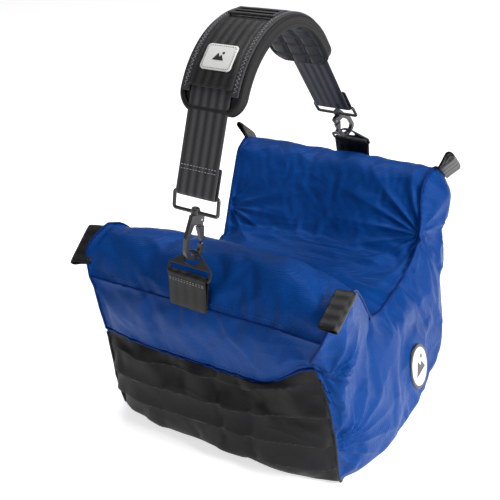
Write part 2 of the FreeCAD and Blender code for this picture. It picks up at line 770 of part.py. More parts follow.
def hook_gate(end, place):
    """The gate: a blade with a thumb lip at the bow's tip, and a tongue on the pin."""
    body = new_body(f"{end}_hook_gate", place)
    blade = body_sketch(body, "XZ_Plane", [[
        ("9", "14.4"), ("12.7", "14.4"), ("14.4", "16.5"), ("14.4", "18.8"), ("12.5", "20"),
        ("11.8", "31"), ("2.6", "31")]])
    pad(body, blade, f"{cell('hook_thickness')} - 0.4")
    tongue = body_sketch(body, "XZ_Plane", [[
        ("3.6", "30"), ("11", "30"), ("11.2", "36"), ("10.8", "41"), ("9", "42.8"),
        ("5", "42.8"), ("3.6", "41")]])
    pad(body, tongue, cell("gate_thickness"))
    bore = body_sketch(body, "XZ_Plane", circles=[PIVOT + (f"{pin_r} + {cell('gate_pin_clearance')}",)])
    pocket(body, bore, "20")
    round_edges(body, GATE_ROUND, flat_rim(dim("hook_thickness") / 2 - 0.2))


def gate_pin(end, place):
    """The cross pin, pressed into the hook's cheeks."""
    body = new_body(f"{end}_gate_pin", place)
    pad(body, body_sketch(body, "XZ_Plane", circles=[PIVOT + (pin_r,)]), cell("hook_thickness"))


def gate_spring(end, place):
    """A torsion spring: a coil round the pin and a leg, in the gap beside the gate."""
    coil_radius, wire, leg_length = 1.9, 0.28, 5.0
    beside = (dim("gate_thickness") + dim("gate_slot")) / 4
    centre = FreeCAD.Vector(dim("gate_hinge_side"), beside, dim("gate_hinge_height"))
    coil = Part.makeTorus(coil_radius, wire, centre, Y_AXIS)
    leg_top = centre.sub(X_AXIS * coil_radius)
    leg = Part.makeCylinder(wire, leg_length, leg_top, FreeCAD.Vector(0.1, 0, -1))
    spring = doc.addObject("Part::Feature", f"{end}_gate_spring")
    spring.Shape = coil.fuse(leg)
    finish_part(spring, f"{end}_gate_spring", place)


def ring(end, place):
    """A flat triangular ring: a slot for the tab's webbing below and an eye for the hook above."""
    body = new_body(f"{end}_ring", place)
    half, bar = f"{cell('ring_width')} / 2", f"{cell('ring_bar_height')} / 2"
    corner, wire = cell("ring_corner_radius"), cell("ring_wire_width")
    eye_r = f"({cell('ring_eye_top')} - {cell('ring_eye_bottom')}) / 2"
    eye_z = f"({cell('ring_eye_top')} + {cell('ring_eye_bottom')}) / 2"
    eye_x = f"{cell('ring_eye_width')} / 2 - {eye_r}"
    top_r = f"{eye_r} + {cell('ring_top_bar')} + 1"
    top_c = ("0", f"{eye_z} - 1")
    angle = cell("ring_shoulder_angle")
    shoulder = cell("ring_shoulder_height")
    outline = [
        (f"-({half} - {corner})", f"-({bar})"),
        (f"{half} - {corner}", f"-({bar})", corner, (f"{half} - {corner}", f"{corner} - {bar}")),
        (half, f"{corner} - {bar}"), (half, shoulder),
        (f"({top_r}) * cos({angle})", f"{top_c[1]} + ({top_r}) * sin({angle})", top_r, top_c),
        (f"-({top_r}) * cos({angle})", f"{top_c[1]} + ({top_r}) * sin({angle})"),
        (f"-({half})", shoulder),
        (f"-({half})", f"{corner} - {bar}", corner, (f"-({half} - {corner})", f"{corner} - {bar}"))]
    slot = rectangle(f"-({half} - {wire})", f"{half} - {wire}", bar, f"{bar} + {cell('ring_slot_height')}")
    left, right = (f"-({eye_x})", eye_z), (eye_x, eye_z)
    eye = [
        (f"-({eye_x})", cell("ring_eye_bottom")), (eye_x, cell("ring_eye_bottom"), eye_r, right),
        (f"{eye_x} + {eye_r}", eye_z, eye_r, right), (eye_x, cell("ring_eye_top")),
        (f"-({eye_x})", cell("ring_eye_top"), eye_r, left),
        (f"-({eye_x} + {eye_r})", eye_z, eye_r, left)]
    pad(body, body_sketch(body, "XZ_Plane", [outline, slot, eye]), cell("ring_thickness"))
    round_edges(body, HARDWARE_ROUND, flat_rim(dim("ring_thickness") / 2))


for end in ("front", "back"):
    places = hardware_places(end)
    strap_loop(end, places["loop"])
    swivel_stud(end, places["hook"])
    hook_body(end, places["hook"])
    hook_gate(end, places["hook"])
    gate_pin(end, places["hook"])
    gate_spring(end, places["hook"])
    ring(end, places["ring"])
    towards = 1 if end == "front" else -1
    tab_foot = FreeCAD.Vector(0, -towards * dim("tab_base_depth"), dim("tab_base_height"))
    tab_along = places["ring_bar"].sub(tab_foot)
    tab_length = str(round(tab_along.Length, 4))
    tab_normal = X_AXIS.cross(tab_along)
    tab_place = strap_frame.multiply(axes_placement(tab_foot, tab_along, tab_normal))
    webbing_eye(f"{end}_ring_tab", tab_place, tab_length, cell("tab_eye_radius"))

# ---------------------------------------------------------------- shoulder pad

core_top = f"-{cell('pad_channel')}"
core_low = f"{core_top} - {cell('pad_core_thickness')}"
grip_low = f"{core_low} - {cell('pad_grip_thickness')}"
sleeve_low = cell("pad_channel")
sleeve_top = f"{sleeve_low} + {cell('pad_sleeve_thickness')}"
front_run, back_run = cell("pad_front_run"), cell("pad_back_run")
binding = cell("pad_binding_width")
pad_inside = f"{cell('pad_width')} - 2 * {binding}"


def pad_layer(name, low, high, width, trim="0"):
    """A plain layer of the pad along the arch, its corners rounded in plan."""
    body = doc.addObject("PartDesign::Body", name)
    body.Placement = strap_frame
    corners = arch_strip(f"{front_run} - {trim}", f"{back_run} - {trim}", low, high)
    pad(body, body_sketch(body, "YZ_Plane", [corners]), width)
    half, thickness = number(width) / 2, number(f"({high}) - ({low})")
    round_edges(body, dim("pad_end_radius") - number(trim), lambda edge: (
        abs(abs(edge.CenterOfMass.x) - half) < 0.05 and abs(edge.Length - thickness) < 0.05))
    return body


pad_core = pad_layer("pad_core", core_low, core_top, pad_inside, binding)
finish_part(pad_core, "pad_core")
pad_grip = pad_layer("pad_grip", grip_low, core_low, pad_inside, binding)
finish_part(pad_grip, "pad_grip")
envelope = pad_layer("pad_envelope", grip_low, core_top, cell("pad_width"))
filling = boolean("Fuse", "pad_filling", pad_core, pad_grip)
finish_part(boolean("Cut", "pad_binding", envelope, filling), "pad_binding")


def arch_sector(start, stop, low, high):
    """A piece of a ring about the arch's centre, between two angles from its top."""
    return [
        arc_corner(on_arch(start, low), f"{arch_r} + {low}", arch_centre), on_arch(stop, low),
        arc_corner(on_arch(stop, high), f"{arch_r} + {high}", arch_centre), on_arch(start, high)]


window, window_middle = cell("pad_window_angle"), cell("pad_window_offset")
sleeve_spans = {
    "front": (f"-{cell('front_leg_slope')} + {cell('pad_front_margin')}",
              f"{window_middle} - {window} / 2"),
    "back": (f"{window_middle} + {window} / 2", cell("back_leg_slope")),
}
for end, (start, stop) in sleeve_spans.items():
    sleeve = new_body(f"pad_{end}_sleeve", strap_frame)
    strip = arch_sector(start, stop, sleeve_low, sleeve_top)
    pad(sleeve, body_sketch(sleeve, "YZ_Plane", [strip]), cell("pad_sleeve_width"))

tape_strip = arch_sector(sleeve_spans["front"][0], sleeve_spans["back"][1], core_top, sleeve_top)
tape_width = f"({pad_inside} - {cell('pad_sleeve_width')}) / 2"
tape_centre = (number(pad_inside) + dim("pad_sleeve_width")) / 4
for name, side in (("left", -1), ("right", 1)):
    tape_place = strap_frame.multiply(FreeCAD.Placement(X_AXIS * (side * tape_centre), FreeCAD.Rotation()))
    edge_tape = new_body(f"pad_{name}_edge_tape", tape_place)
    pad(edge_tape, body_sketch(edge_tape, "YZ_Plane", [tape_strip]), tape_width)

label_half = f"{cell('label_length')} / 2 / {arch_r} * 180 / 3.14159"
label_mid = f"-{cell('label_angle')}"
label = new_body("pad_label", strap_frame)
label_top = f"{sleeve_top} + {cell('label_thickness')}"
label_strip = arch_sector(
    f"{label_mid} - {label_half}", f"{label_mid} + {label_half}", sleeve_top, label_top)
pad(label, body_sketch(label, "YZ_Plane", [label_strip]), cell("label_width"))

slider_turn = FreeCAD.Rotation(X_AXIS, -dim("pad_window_offset"))
slider_height = dim("arch_radius") + dim("webbing_thickness") / 2 + dim("slider_lift")
slider_base = FreeCAD.Vector(0, dim("arch_depth"), dim("arch_height"))
slider_base = slider_base.add(slider_turn.multVec(Z_AXIS) * slider_height)
strap_slider = new_body("strap_slider", strap_frame.multiply(
    FreeCAD.Placement(slider_base, slider_turn)))
slider_x, slider_y = f"{cell('slider_width')} / 2", f"{cell('slider_length')} / 2"
slot_x = f"{slider_x} - {cell('slider_bar')}"
centre_bar = f"{cell('slider_bar')} / 2"
slots = [
    rectangle(f"-({slot_x})", slot_x, centre_bar, f"{slider_y} - {cell('slider_bar')}"),
    rectangle(f"-({slot_x})", slot_x, f"-({slider_y} - {cell('slider_bar')})", f"-({centre_bar})")]
frame_sketch = body_sketch(
    strap_slider, "XY_Plane",
    [rectangle(f"-({slider_x})", slider_x, f"-({slider_y})", slider_y)] + slots)
pad(strap_slider, frame_sketch, cell("slider_thickness"), symmetric=False)
round_edges(strap_slider, 0.8, lambda edge: edge.BoundBox.ZLength < 0.01)

# ---------------------------------------------------------------- checks and files

doc.recompute()
for obj in doc.Objects:
    if "Invalid" in obj.State or "Error" in obj.State:
        raise RuntimeError(f"{obj.Label} did not compute")
for part in parts:
    if part.Shape.isNull() or not part.Shape.isValid():
        raise RuntimeError(f"{part.Label} has no valid shape")

os.makedirs("parts", exist_ok=True)
for part in parts:
    part.Shape.exportStep(f"parts/{part.Label}.step")
    print(part.Label, len(part.Shape.Solids), round(part.Shape.Volume))
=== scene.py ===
import math

import bmesh
import bpy
import numpy as np
from mathutils import Matrix, Vector
from mathutils.bvhtree import BVHTree
from mathutils.geometry import delaunay_2d_cdt

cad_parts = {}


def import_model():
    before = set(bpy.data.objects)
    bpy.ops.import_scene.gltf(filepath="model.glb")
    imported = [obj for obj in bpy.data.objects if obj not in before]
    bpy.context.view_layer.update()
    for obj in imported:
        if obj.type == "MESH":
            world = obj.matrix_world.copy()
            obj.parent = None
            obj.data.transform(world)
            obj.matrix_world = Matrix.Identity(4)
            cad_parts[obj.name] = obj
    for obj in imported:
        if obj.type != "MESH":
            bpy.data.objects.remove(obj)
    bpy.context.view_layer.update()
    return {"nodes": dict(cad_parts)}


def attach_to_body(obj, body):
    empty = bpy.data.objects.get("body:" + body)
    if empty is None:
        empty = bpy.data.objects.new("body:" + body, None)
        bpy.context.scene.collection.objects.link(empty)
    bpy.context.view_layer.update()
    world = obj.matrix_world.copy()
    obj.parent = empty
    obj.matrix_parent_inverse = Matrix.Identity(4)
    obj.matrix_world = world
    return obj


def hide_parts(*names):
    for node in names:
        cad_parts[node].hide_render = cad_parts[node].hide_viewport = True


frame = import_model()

MM = 0.001

# ---------------------------------------------------------------- materials


def srgb(red, green, blue):
    """An 8-bit display colour as linear values."""
    def channel(value):
        value /= 255
        return value / 12.92 if value <= 0.04045 else ((value + 0.055) / 1.055) ** 2.4
    return (channel(red), channel(green), channel(blue), 1.0)


class Material:
    """A principled material with helpers for wiring procedural nodes."""

    def __init__(self, name, colour, rough=0.5, metallic=0.0, specular=0.5, coat=0.0):
        self.data = bpy.data.materials.new(name)
        self.data.use_nodes = True
        self.tree = self.data.node_tree
        self.shader = self.tree.nodes["Principled BSDF"]
        self.set("Base Color", colour)
        self.set("Roughness", rough)
        self.set("Metallic", metallic)
        self.set("Specular IOR Level", specular)
        self.set("Coat Weight", coat)
        self.last_normal = None

    def set(self, socket, value):
        self.shader.inputs[socket].default_value = value

    def node(self, kind, **inputs):
        made = self.tree.nodes.new(kind)
        for socket, value in inputs.items():
            name = socket.replace("_", " ")
            if isinstance(value, bpy.types.NodeSocket):
                self.tree.links.new(value, made.inputs[name])
            else:
                made.inputs[name].default_value = value
        return made

    def link(self, output, socket):
        self.tree.links.new(output, self.shader.inputs[socket])

    def coordinates(self, kind="Object", scale=(1, 1, 1)):
        source = self.node("ShaderNodeTexCoord")
        mapping = self.node("ShaderNodeMapping", Vector=source.outputs[kind], Scale=scale)
        return mapping.outputs["Vector"]

    def maths(self, operation, first, second):
        made = self.tree.nodes.new("ShaderNodeMath")
        made.operation = operation
        for slot_index, value in enumerate((first, second)):
            if isinstance(value, bpy.types.NodeSocket):
                self.tree.links.new(value, made.inputs[slot_index])
            else:
                made.inputs[slot_index].default_value = value
        return made.outputs[0]

    def noise(self, scale, detail=3.0, rough=0.55, space="Object"):
        made = self.node("ShaderNodeTexNoise", Scale=scale, Detail=detail, Roughness=rough,
                         Vector=self.coordinates(space))
        return made.outputs["Fac"]

    def ridges(self, scale, stretch):
        """Sharp creases between soft hollows."""
        made = self.node("ShaderNodeTexNoise", Vector=self.coordinates("Object", stretch))
        made.noise_type = "RIDGED_MULTIFRACTAL"
        for socket, value in (("Scale", scale), ("Detail", 2.0), ("Roughness", 0.4),
                              ("Distortion", 0.6), ("Offset", 0.9), ("Gain", 1.0)):
            made.inputs[socket].default_value = value
        return made.outputs["Fac"]

    def wave(self, scale, direction, space="Object"):
        made = self.node("ShaderNodeTexWave", Scale=scale, Vector=self.coordinates(space))
        made.bands_direction = direction
        return made.outputs["Fac"]

    def bump(self, height, distance, strength=1.0):
        made = self.node("ShaderNodeBump", Height=height, Distance=distance, Strength=strength)
        if self.last_normal is not None:
            self.tree.links.new(self.last_normal, made.inputs["Normal"])
        self.last_normal = made.outputs["Normal"]
        self.link(self.last_normal, "Normal")

    def blend(self, factor, low, high, socket="Base Color"):
        ramp = self.tree.nodes.new("ShaderNodeMix")
        ramp.data_type = "RGBA" if socket == "Base Color" else "FLOAT"
        wanted = [s for s in ramp.inputs if s.enabled]
        self.tree.links.new(factor, wanted[0])
        for target, value in zip(wanted[1:], (low, high)):
            target.default_value = value
        self.link([s for s in ramp.outputs if s.enabled][0], socket)


def weave(material, pitch, depth, space="Object"):
    """Crossed threads of one pitch, as a bump."""
    turns = 2 * math.pi / 20 / pitch
    warp = material.wave(turns, "X", space)
    weft = material.wave(turns, "Z" if space == "Object" else "Y", space)
    material.bump(material.maths("MULTIPLY", warp, weft), depth)


def nylon(name, light, dark, rough, crease=0.0022):
    """Coated nylon: crushed creases, a fine weave and uneven shine."""
    made = Material(name, dark, rough=rough, specular=0.22)
    peak = max(light[:3])
    made.set("Specular Tint", tuple(0.25 + 0.75 * c / peak for c in light[:3]) + (1.0,))
    grain = made.maths("MULTIPLY", made.noise(650.0, 2.0), 0.55)
    worn = made.maths("MULTIPLY", made.noise(9.0, 5.0, 0.6), 0.45)
    made.blend(made.maths("ADD", grain, worn), dark, light)
    made.blend(made.noise(38.0, 4.0), rough - 0.1, rough + 0.14, "Roughness")
    made.bump(made.ridges(9.0, (1.0, 1.5, 0.8)), crease, 0.8)
    made.bump(made.ridges(21.0, (0.7, 1.0, 1.5)), crease * 0.3, 0.8)
    made.bump(made.noise(75.0, 4.0, 0.6), 0.0005, 0.5)
    weave(made, 0.0013, 0.00018)
    return made.data


def ribbed(name, light, dark, rib, depth, rough):
    """Webbing: lengthwise ribs across the width, with a fine cross weave; its colour is painted shade in
    the rib grooves and painted highlight on the crests.
    """
    made = Material(name, dark, rough=rough, specular=0.3)
    ribs = made.wave(2 * math.pi / 20 / rib, "X", "UV")
    # painted shade and highlight: the colour goes from dark in each rib's groove to light on its crest,
    # following the rib relief
    made.blend(ribs, dark, light)
    made.bump(ribs, depth)
    picks = made.wave(2 * math.pi / 20 / 0.0012, "Y", "UV")
    made.bump(picks, 0.0002, 0.8)
    made.bump(made.noise(60.0, 4.0, space="UV"), 0.0003, 0.5)
    return made.data


BLUE = nylon("nylon_blue", srgb(10, 76, 158), srgb(0, 28, 76), 0.42, 0.0024)
BLUE_TRIM = nylon("nylon_blue_trim", srgb(4, 46, 116), srgb(0, 24, 74), 0.5, 0.0006)
BLACK = nylon("nylon_black", srgb(26, 26, 27), srgb(7, 7, 8), 0.45, 0.0016)
LINER = nylon("liner_cloth", srgb(140, 140, 146), srgb(120, 120, 126), 0.7)
# for the webbing below, the dark colour is painted shade in the rib grooves and the light colour is a
# painted highlight on the crests
LOOPS = ribbed("loop_webbing", srgb(34, 34, 35), srgb(12, 12, 13), 0.0125, 0.0003, 0.36)
STRAP = ribbed("strap_webbing", srgb(76, 76, 78), srgb(38, 38, 40), 0.0100, 0.0002, 0.34)
SLEEVE = ribbed("sleeve_webbing", srgb(44, 44, 46), srgb(20, 20, 21), 0.0100, 0.0002, 0.34)
TAB = ribbed("tab_webbing", srgb(24, 24, 25), srgb(9, 9, 10), 0.0125, 0.0003, 0.4)
BINDING = ribbed("pad_binding", srgb(24, 24, 25), srgb(10, 10, 11), 0.0012, 0.0002, 0.6)


def twisted(name, colour, rough):
    """Sewing thread, with its twist as fine slanted ridges."""
    made = Material(name, colour, rough=rough)
    made.bump(made.wave(400.0, "DIAGONAL"), 0.0001)
    return made.data


THREAD_LIGHT = twisted("thread_light", srgb(150, 150, 152), 0.7)
THREAD_DARK = twisted("thread_dark", srgb(60, 60, 62), 0.7)
THREAD_BLUE = twisted("thread_blue", srgb(16, 48, 128), 0.6)


def enamel(name, colour, rough, metallic=0.0, coat=0.3):
    """Cast metal or moulded plastic under paint, with a faint grain and rubbed patches."""
    made = Material(name, colour, rough=rough, metallic=metallic, coat=coat)
    lighter = tuple(min(1.0, c * 1.9 + 0.01) for c in colour[:3]) + (1.0,)
    made.blend(made.noise(160.0, 5.0, 0.7), colour, lighter)
    made.blend(made.noise(90.0, 3.0), rough - 0.08, rough + 0.12, "Roughness")
    made.bump(made.noise(900.0, 2.0), 0.00008, 0.5)
    return made.data


METAL = enamel("black_enamel", srgb(26, 26, 28), 0.34)
STEEL = enamel("bare_steel", srgb(150, 150, 152), 0.3, 1.0, 0.0)
PLASTIC = enamel("moulded_plastic", srgb(40, 40, 42), 0.3)
ZIP = enamel("zip_coil", srgb(28, 28, 30), 0.5, 0.0, 0.0)
WHITE_PRINT = enamel("white_print", srgb(232, 232, 230), 0.42, 0.0, 0.2)
BLACK_PRINT = enamel("black_print", srgb(16, 16, 17), 0.4, 0.0, 0.2)


def knitted(name, colour, cell_size, depth):
    """Spacer mesh or knitted cover: a bumpy cell pattern."""
    made = Material(name, colour, rough=0.7)
    cells = made.node("ShaderNodeTexVoronoi", Scale=1 / cell_size, Vector=made.coordinates("UV"))
    made.bump(cells.outputs["Distance"], depth)
    lighter = tuple(min(1.0, c * 2.2) for c in colour[:3]) + (1.0,)
    made.blend(cells.outputs["Distance"], colour, lighter)
    made.bump(made.noise(300.0, 3.0), 0.0002, 0.5)
    return made.data


MESH = knitted("spacer_mesh", srgb(34, 34, 37), 0.0026, 0.0010)
FOAM = knitted("pad_cover", srgb(24, 24, 26), 0.0014, 0.0003)
RUBBER = Material("grip_rubber", srgb(30, 30, 32), rough=0.5)
RUBBER.blend(RUBBER.noise(30.0, 4.0), srgb(24, 24, 26), srgb(44, 44, 46))
RUBBER.bump(RUBBER.noise(500.0, 3.0), 0.0002, 0.6)
weave(RUBBER, 0.0016, 0.0001)
RUBBER = RUBBER.data
LABEL = Material("label_cloth", srgb(226, 226, 224), rough=0.6)
LABEL.blend(LABEL.noise(40.0, 3.0), srgb(214, 214, 212), srgb(236, 236, 234))
weave(LABEL, 0.0009, 0.00006)
LABEL = LABEL.data
BEADS = Material("bead_fill", srgb(232, 231, 226), rough=0.8)
bead_cells = BEADS.node("ShaderNodeTexVoronoi", Scale=280.0, Vector=BEADS.coordinates())
BEADS.bump(bead_cells.outputs["Distance"], 0.0012)
BEADS.blend(bead_cells.outputs["Distance"], srgb(214, 213, 208), srgb(240, 239, 236))
BEADS = BEADS.data

# ---------------------------------------------------------------- mesh helpers


def mesh_object(name, points, faces, material, uvs=None, smooth=True):
    """An object from points in millimetres, with one uv pair (metres) per point if given."""
    data = bpy.data.meshes.new(name)
    data.from_pydata([tuple(c * MM for c in p) for p in points], [], faces)
    if uvs is not None:
        layer = data.uv_layers.new(name="uv")
        corners = np.empty(len(data.loops), dtype=np.int32)
        data.loops.foreach_get("vertex_index", corners)
        layer.data.foreach_set("uv", np.asarray(uvs, np.float32)[corners].ravel())
    data.polygons.foreach_set("use_smooth", [smooth] * len(data.polygons))
    data.materials.append(material)
    made = bpy.data.objects.new(name, data)
    bpy.context.scene.collection.objects.link(made)
    return made


def attach(piece, body, node=None):
    """Gives a piece its body, and hides the CAD node that it stands for, if any."""
    if node:
        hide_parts(node)
    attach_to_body(piece, body)


def shell_faces(count, across):
    """Faces of a closed strip: count rows of upper points, then as many rows of lower ones."""
    size, offset, quads = across + 1, count * (across + 1), []
    for i in range(count - 1):
        for k in range(across):
            a, b = i * size + k, i * size + k + 1
            quads.append((a, b, b + size, a + size))
            quads.append((offset + b, offset + a, offset + a + size, offset + b + size))
        for k in (0, across):
            a, c = i * size + k, (i + 1) * size + k
            quads.append((a, c, offset + c, offset + a))
    for i in (0, count - 1):
        for k in range(across):
            a, b = i * size + k, i * size + k + 1
            quads.append((a, b, offset + b, offset + a))
    return quads


def apply_modifiers(obj):
    bpy.context.view_layer.update()
    evaluated = obj.evaluated_get(bpy.context.evaluated_depsgraph_get())
    baked = bpy.data.meshes.new_from_object(evaluated)
    obj.modifiers.clear()
    obj.data = baked
    return obj


def recalculated(obj):
    """Faces turned outwards."""
    work = bmesh.new()
    work.from_mesh(obj.data)
    bmesh.ops.recalc_face_normals(work, faces=work.faces)
    work.to_mesh(obj.data)
    work.free()
    return obj


def smoothstep(low, high, value):
    t = np.clip((np.asarray(value, float) - low) / (high - low), 0, 1)
    return t * t * (3 - 2 * t)


def spline(points, step):
    """Points evenly spaced along a smooth curve through the given ones, and their row values."""
    points = np.asarray(points, float)
    dense = []
    last = len(points) - 1
    for i in range(last):
        p0, p1 = points[max(i - 1, 0)], points[i]
        p2, p3 = points[i + 1], points[min(i + 2, last)]
        for t in np.linspace(0, 1, 24, endpoint=False):
            dense.append(0.5 * (2 * p1 + (p2 - p0) * t + (2 * p0 - 5 * p1 + 4 * p2 - p3) * t * t
                                + (3 * p1 - p0 - 3 * p2 + p3) * t ** 3))
    dense.append(points[-1])
    dense = np.array(dense)
    along = np.concatenate([[0], np.cumsum(np.linalg.norm(np.diff(dense[:, :2], axis=0), axis=1))])
    count = max(2, int(round(along[-1] / step)) + 1)
    wanted = np.linspace(0, along[-1], count)
    return np.stack([np.interp(wanted, along, dense[:, c]) for c in range(dense.shape[1])], 1)


def sweep(name, path, section, material, closed=False, up=None):
    """A closed section, in the plane across the path, carried along the path."""
    path = [Vector(p) for p in path]
    count, size = len(path), len(section)
    points, uvs, run = [], [], 0.0
    previous = None
    for i, here in enumerate(path):
        before = path[i - 1] if (i or closed) else here
        after = path[(i + 1) % count] if (i < count - 1 or closed) else here
        tangent = (after - before).normalized()
        if up is not None:
            normal = up[i] - tangent * up[i].dot(tangent)
        else:
            normal = previous if previous is not None else tangent.orthogonal()
            normal = normal - tangent * normal.dot(tangent)
        normal.normalize()
        previous = normal
        side = tangent.cross(normal)
        run += (here - path[i - 1]).length if i else 0.0
        for k, (a, b) in enumerate(section):
            points.append(here + side * a + normal * b)
            uvs.append((k / size * 0.02, run * MM))
    faces = []
    for i in range(count if closed else count - 1):
        j = (i + 1) % count
        for k in range(size):
            m = (k + 1) % size
            faces.append((i * size + k, i * size + m, j * size + m, j * size + k))
    if not closed:
        faces.append(tuple(range(size)))
        faces.append(tuple((count - 1) * size + k for k in reversed(range(size))))
    return recalculated(mesh_object(name, points, faces, material, uvs))


def round_section(radius, sides=8):
    return [(radius * math.cos(2 * math.pi * k / sides), radius * math.sin(2 * math.pi * k / sides))
            for k in range(sides)]


def stitches(name, lines, material, length=3.0, gap=1.6, radius=0.38):
    """Short threads laid along lines of points; each line is a list of 3-D points in mm."""
    points, faces, uvs = [], [], []
    for line in lines:
        line = np.asarray(line, float)
        along = np.concatenate([[0], np.cumsum(np.linalg.norm(np.diff(line, axis=0), axis=1))])
        start = gap / 2
        while start + length <= along[-1]:
            stops = np.linspace(start, start + length, 4)
            middle = np.stack([np.interp(stops, along, line[:, c]) for c in range(3)], 1)
            tangent = Vector(middle[-1] - middle[0]).normalized()
            normal = tangent.orthogonal().normalized()
            side = tangent.cross(normal)
            base = len(points)
            for here, size in zip(middle, (0.45, 1.0, 1.0, 0.45)):
                for k in range(6):
                    angle = math.pi * k / 3
                    offset = normal * math.cos(angle) + side * math.sin(angle)
                    points.append(tuple(Vector(here) + offset * radius * size))
                    uvs.append((0.0, 0.0))
            for ring_index in range(3):
                for k in range(6):
                    m = (k + 1) % 6
                    a, b = base + ring_index * 6, base + ring_index * 6 + 6
                    faces.append((a + k, a + m, b + m, b + k))
            faces.append(tuple(base + k for k in reversed(range(6))))
            faces.append(tuple(base + 18 + k for k in range(6)))
            start += length + gap
    return mesh_object(name, points, faces, material, uvs)


# ---------------------------------------------------------------- the bag's cloth

STEP, SPAN = 7.0, 45
BADGE_Y, BADGE_Z, BADGE_CLEAR = 16.0, 53.0, 34.0
PLEAT_PITCH, PLEAT_HEIGHT = 33.0, 9.0
DEEPEST_FOLD = -1.5
LARGEST_DRAPE = 9.0

# Depth, height, half width of the side seam and outward crown at mid width, in mm.
FRONT_LOWER = [(-156, 0, 149, 22), (-168, 8, 151, 15), (-178, 44, 152, 8), (-184, 109, 151, 4),
               (-187, 138, 150, 4)]
FRONT_BAND = [(-187, 138, 150, 4), (-194, 172, 149, 3), (-196, 214, 148, 0)]
TOP = [(-196, 214, 148, 0), (-189, 238, 149, 1), (-172, 254, 149, 2), (-150, 260, 149, 2),
       (-130, 250, 148, 2), (-104, 217, 145, 2), (-66, 168, 140, 3), (-30, 149, 136, 4),
       (20, 144, 134, 4), (62, 152, 136, 3), (96, 186, 143, 2), (126, 232, 148, 2),
       (142, 252, 149, 2), (161, 260, 149, 2), (180, 252, 149, 2), (192, 234, 149, 1),
       (196, 210, 148, 0)]
BACK_BAND = [(196, 210, 148, 0), (194, 172, 149, 3), (189, 138, 150, 2)]
BACK_LOWER = [(189, 138, 150, 2), (187.5, 92, 151, 0), (184.5, 64, 151, 0), (176, 24, 151, 4),
              (168, 8, 151, 8), (156, 0, 149, 12)]
BASE = [(156, 0, 149, 12), (132, 0, 161, 4), (95, 0, 171, 0), (50, 0, 177, 0), (0, 0, 180, 0),
        (-46, 0, 179, 0), (-91, 0, 174, 0), (-132, 0, 163, 4), (-156, 0, 149, 22)]
PANELS = [("front_lower_panel", FRONT_LOWER), ("front_band", FRONT_BAND), ("top_panel", TOP),
          ("back_band", BACK_BAND), ("back_lower_panel", BACK_LOWER), ("base_panel", BASE)]

outline, row_panel = [], []
for panel, control in PANELS:
    rows = spline(control, STEP)
    for row in rows[:-1]:
        outline.append(row)
        row_panel.append(panel)
outline = np.array(outline)
rows = len(outline)
turned = np.roll(outline[:, :2], -1, axis=0) - np.roll(outline[:, :2], 1, axis=0)
turned /= np.linalg.norm(turned, axis=1)[:, None]
outward = np.stack([-turned[:, 1], turned[:, 0]], 1)
run = np.concatenate([[0], np.cumsum(np.linalg.norm(np.diff(outline[:, :2], axis=0), axis=1))])
centre_of_loop = np.array([0.0, 110.0])
if np.mean(np.sum(outward * (outline[:, :2] - centre_of_loop), axis=1)) < 0:
    outward = -outward


RIGHT_PULL = [(-187, 160, 23, 52), (148, 236, 22, 46), (192, 120, 14, 56)]
LEFT_SPREAD = [(-186, 246, 13, 38)]


def seam_half(row, side):
    """Half width at a side seam, with the places where that side pulls in or stands out."""
    y, z, half = outline[row, :3]
    if row_panel[row] == "base_panel":
        return half
    if side > 0:
        for cy, cz, depth, reach in RIGHT_PULL:
            half -= depth * math.exp(-((y - cy) ** 2 + (z - cz) ** 2) / reach ** 2)
    else:
        for cy, cz, depth, reach in LEFT_SPREAD:
            half += depth * math.exp(-((y - cy) ** 2 + (z - cz) ** 2) / reach ** 2)
    return half


def band_rise(row, t):
    """How far the lower edge of the front band climbs towards its right end."""
    if row_panel[row] not in ("front_lower_panel", "front_band"):
        return 0.0
    near_edge = math.exp(-((outline[row, 1] - 138) / 34) ** 2)
    return near_edge * (36 * float(smoothstep(0.70, 1.0, t)) + 4 * float(smoothstep(0.2, 0, t)) - 4)


def shoulder(row, t):
    """The front lobe's right end hangs lower than its middle."""
    y, z = outline[row, :2]
    return 15 * math.exp(-((y + 152) / 44) ** 2 - ((z - 256) / 46) ** 2) * float(smoothstep(0.76, 1.0, t))


points, faces, face_panel = [], [], []
index = {}
for row in range(rows):
    y, z, half, crown = outline[row]
    for col in range(SPAN + 1):
        t = col / SPAN
        u = 2 * t - 1
        side_half = seam_half(row, u)
        swell = crown * (1 - abs(u) ** 3)
        x = (half + (side_half - half) * smoothstep(0.25, 1.0, abs(u))) * u
        shift = outward[row] * swell
        points.append([x, y + shift[0], max(0.0, z + shift[1]) + band_rise(row, t) - shoulder(row, t)])
        index[row, col] = len(points) - 1
for row in range(rows):
    after = (row + 1) % rows
    for col in range(SPAN):
        faces.append((index[row, col], index[row, col + 1], index[after, col + 1], index[after, col]))
        face_panel.append(row_panel[row])

# side panels: a lattice of points inside the outline, joined to the seam points
edge_loop = [Vector(p) for p in outline[:, :2]]


def inside_distance(y, z):
    """Distance to the outline, positive inside."""
    best, crossings = 1e9, 0
    for i in range(rows):
        a, b = edge_loop[i], edge_loop[(i + 1) % rows]
        ab = b - a
        t = max(0.0, min(1.0, ((y - a.x) * ab.x + (z - a.y) * ab.y) / max(ab.length_squared, 1e-9)))
        best = min(best, math.hypot(y - a.x - ab.x * t, z - a.y - ab.y * t))
        if (a.y > z) != (b.y > z) and y < a.x + (z - a.y) / (b.y - a.y) * ab.x:
            crossings += 1
    return best if crossings % 2 else -best


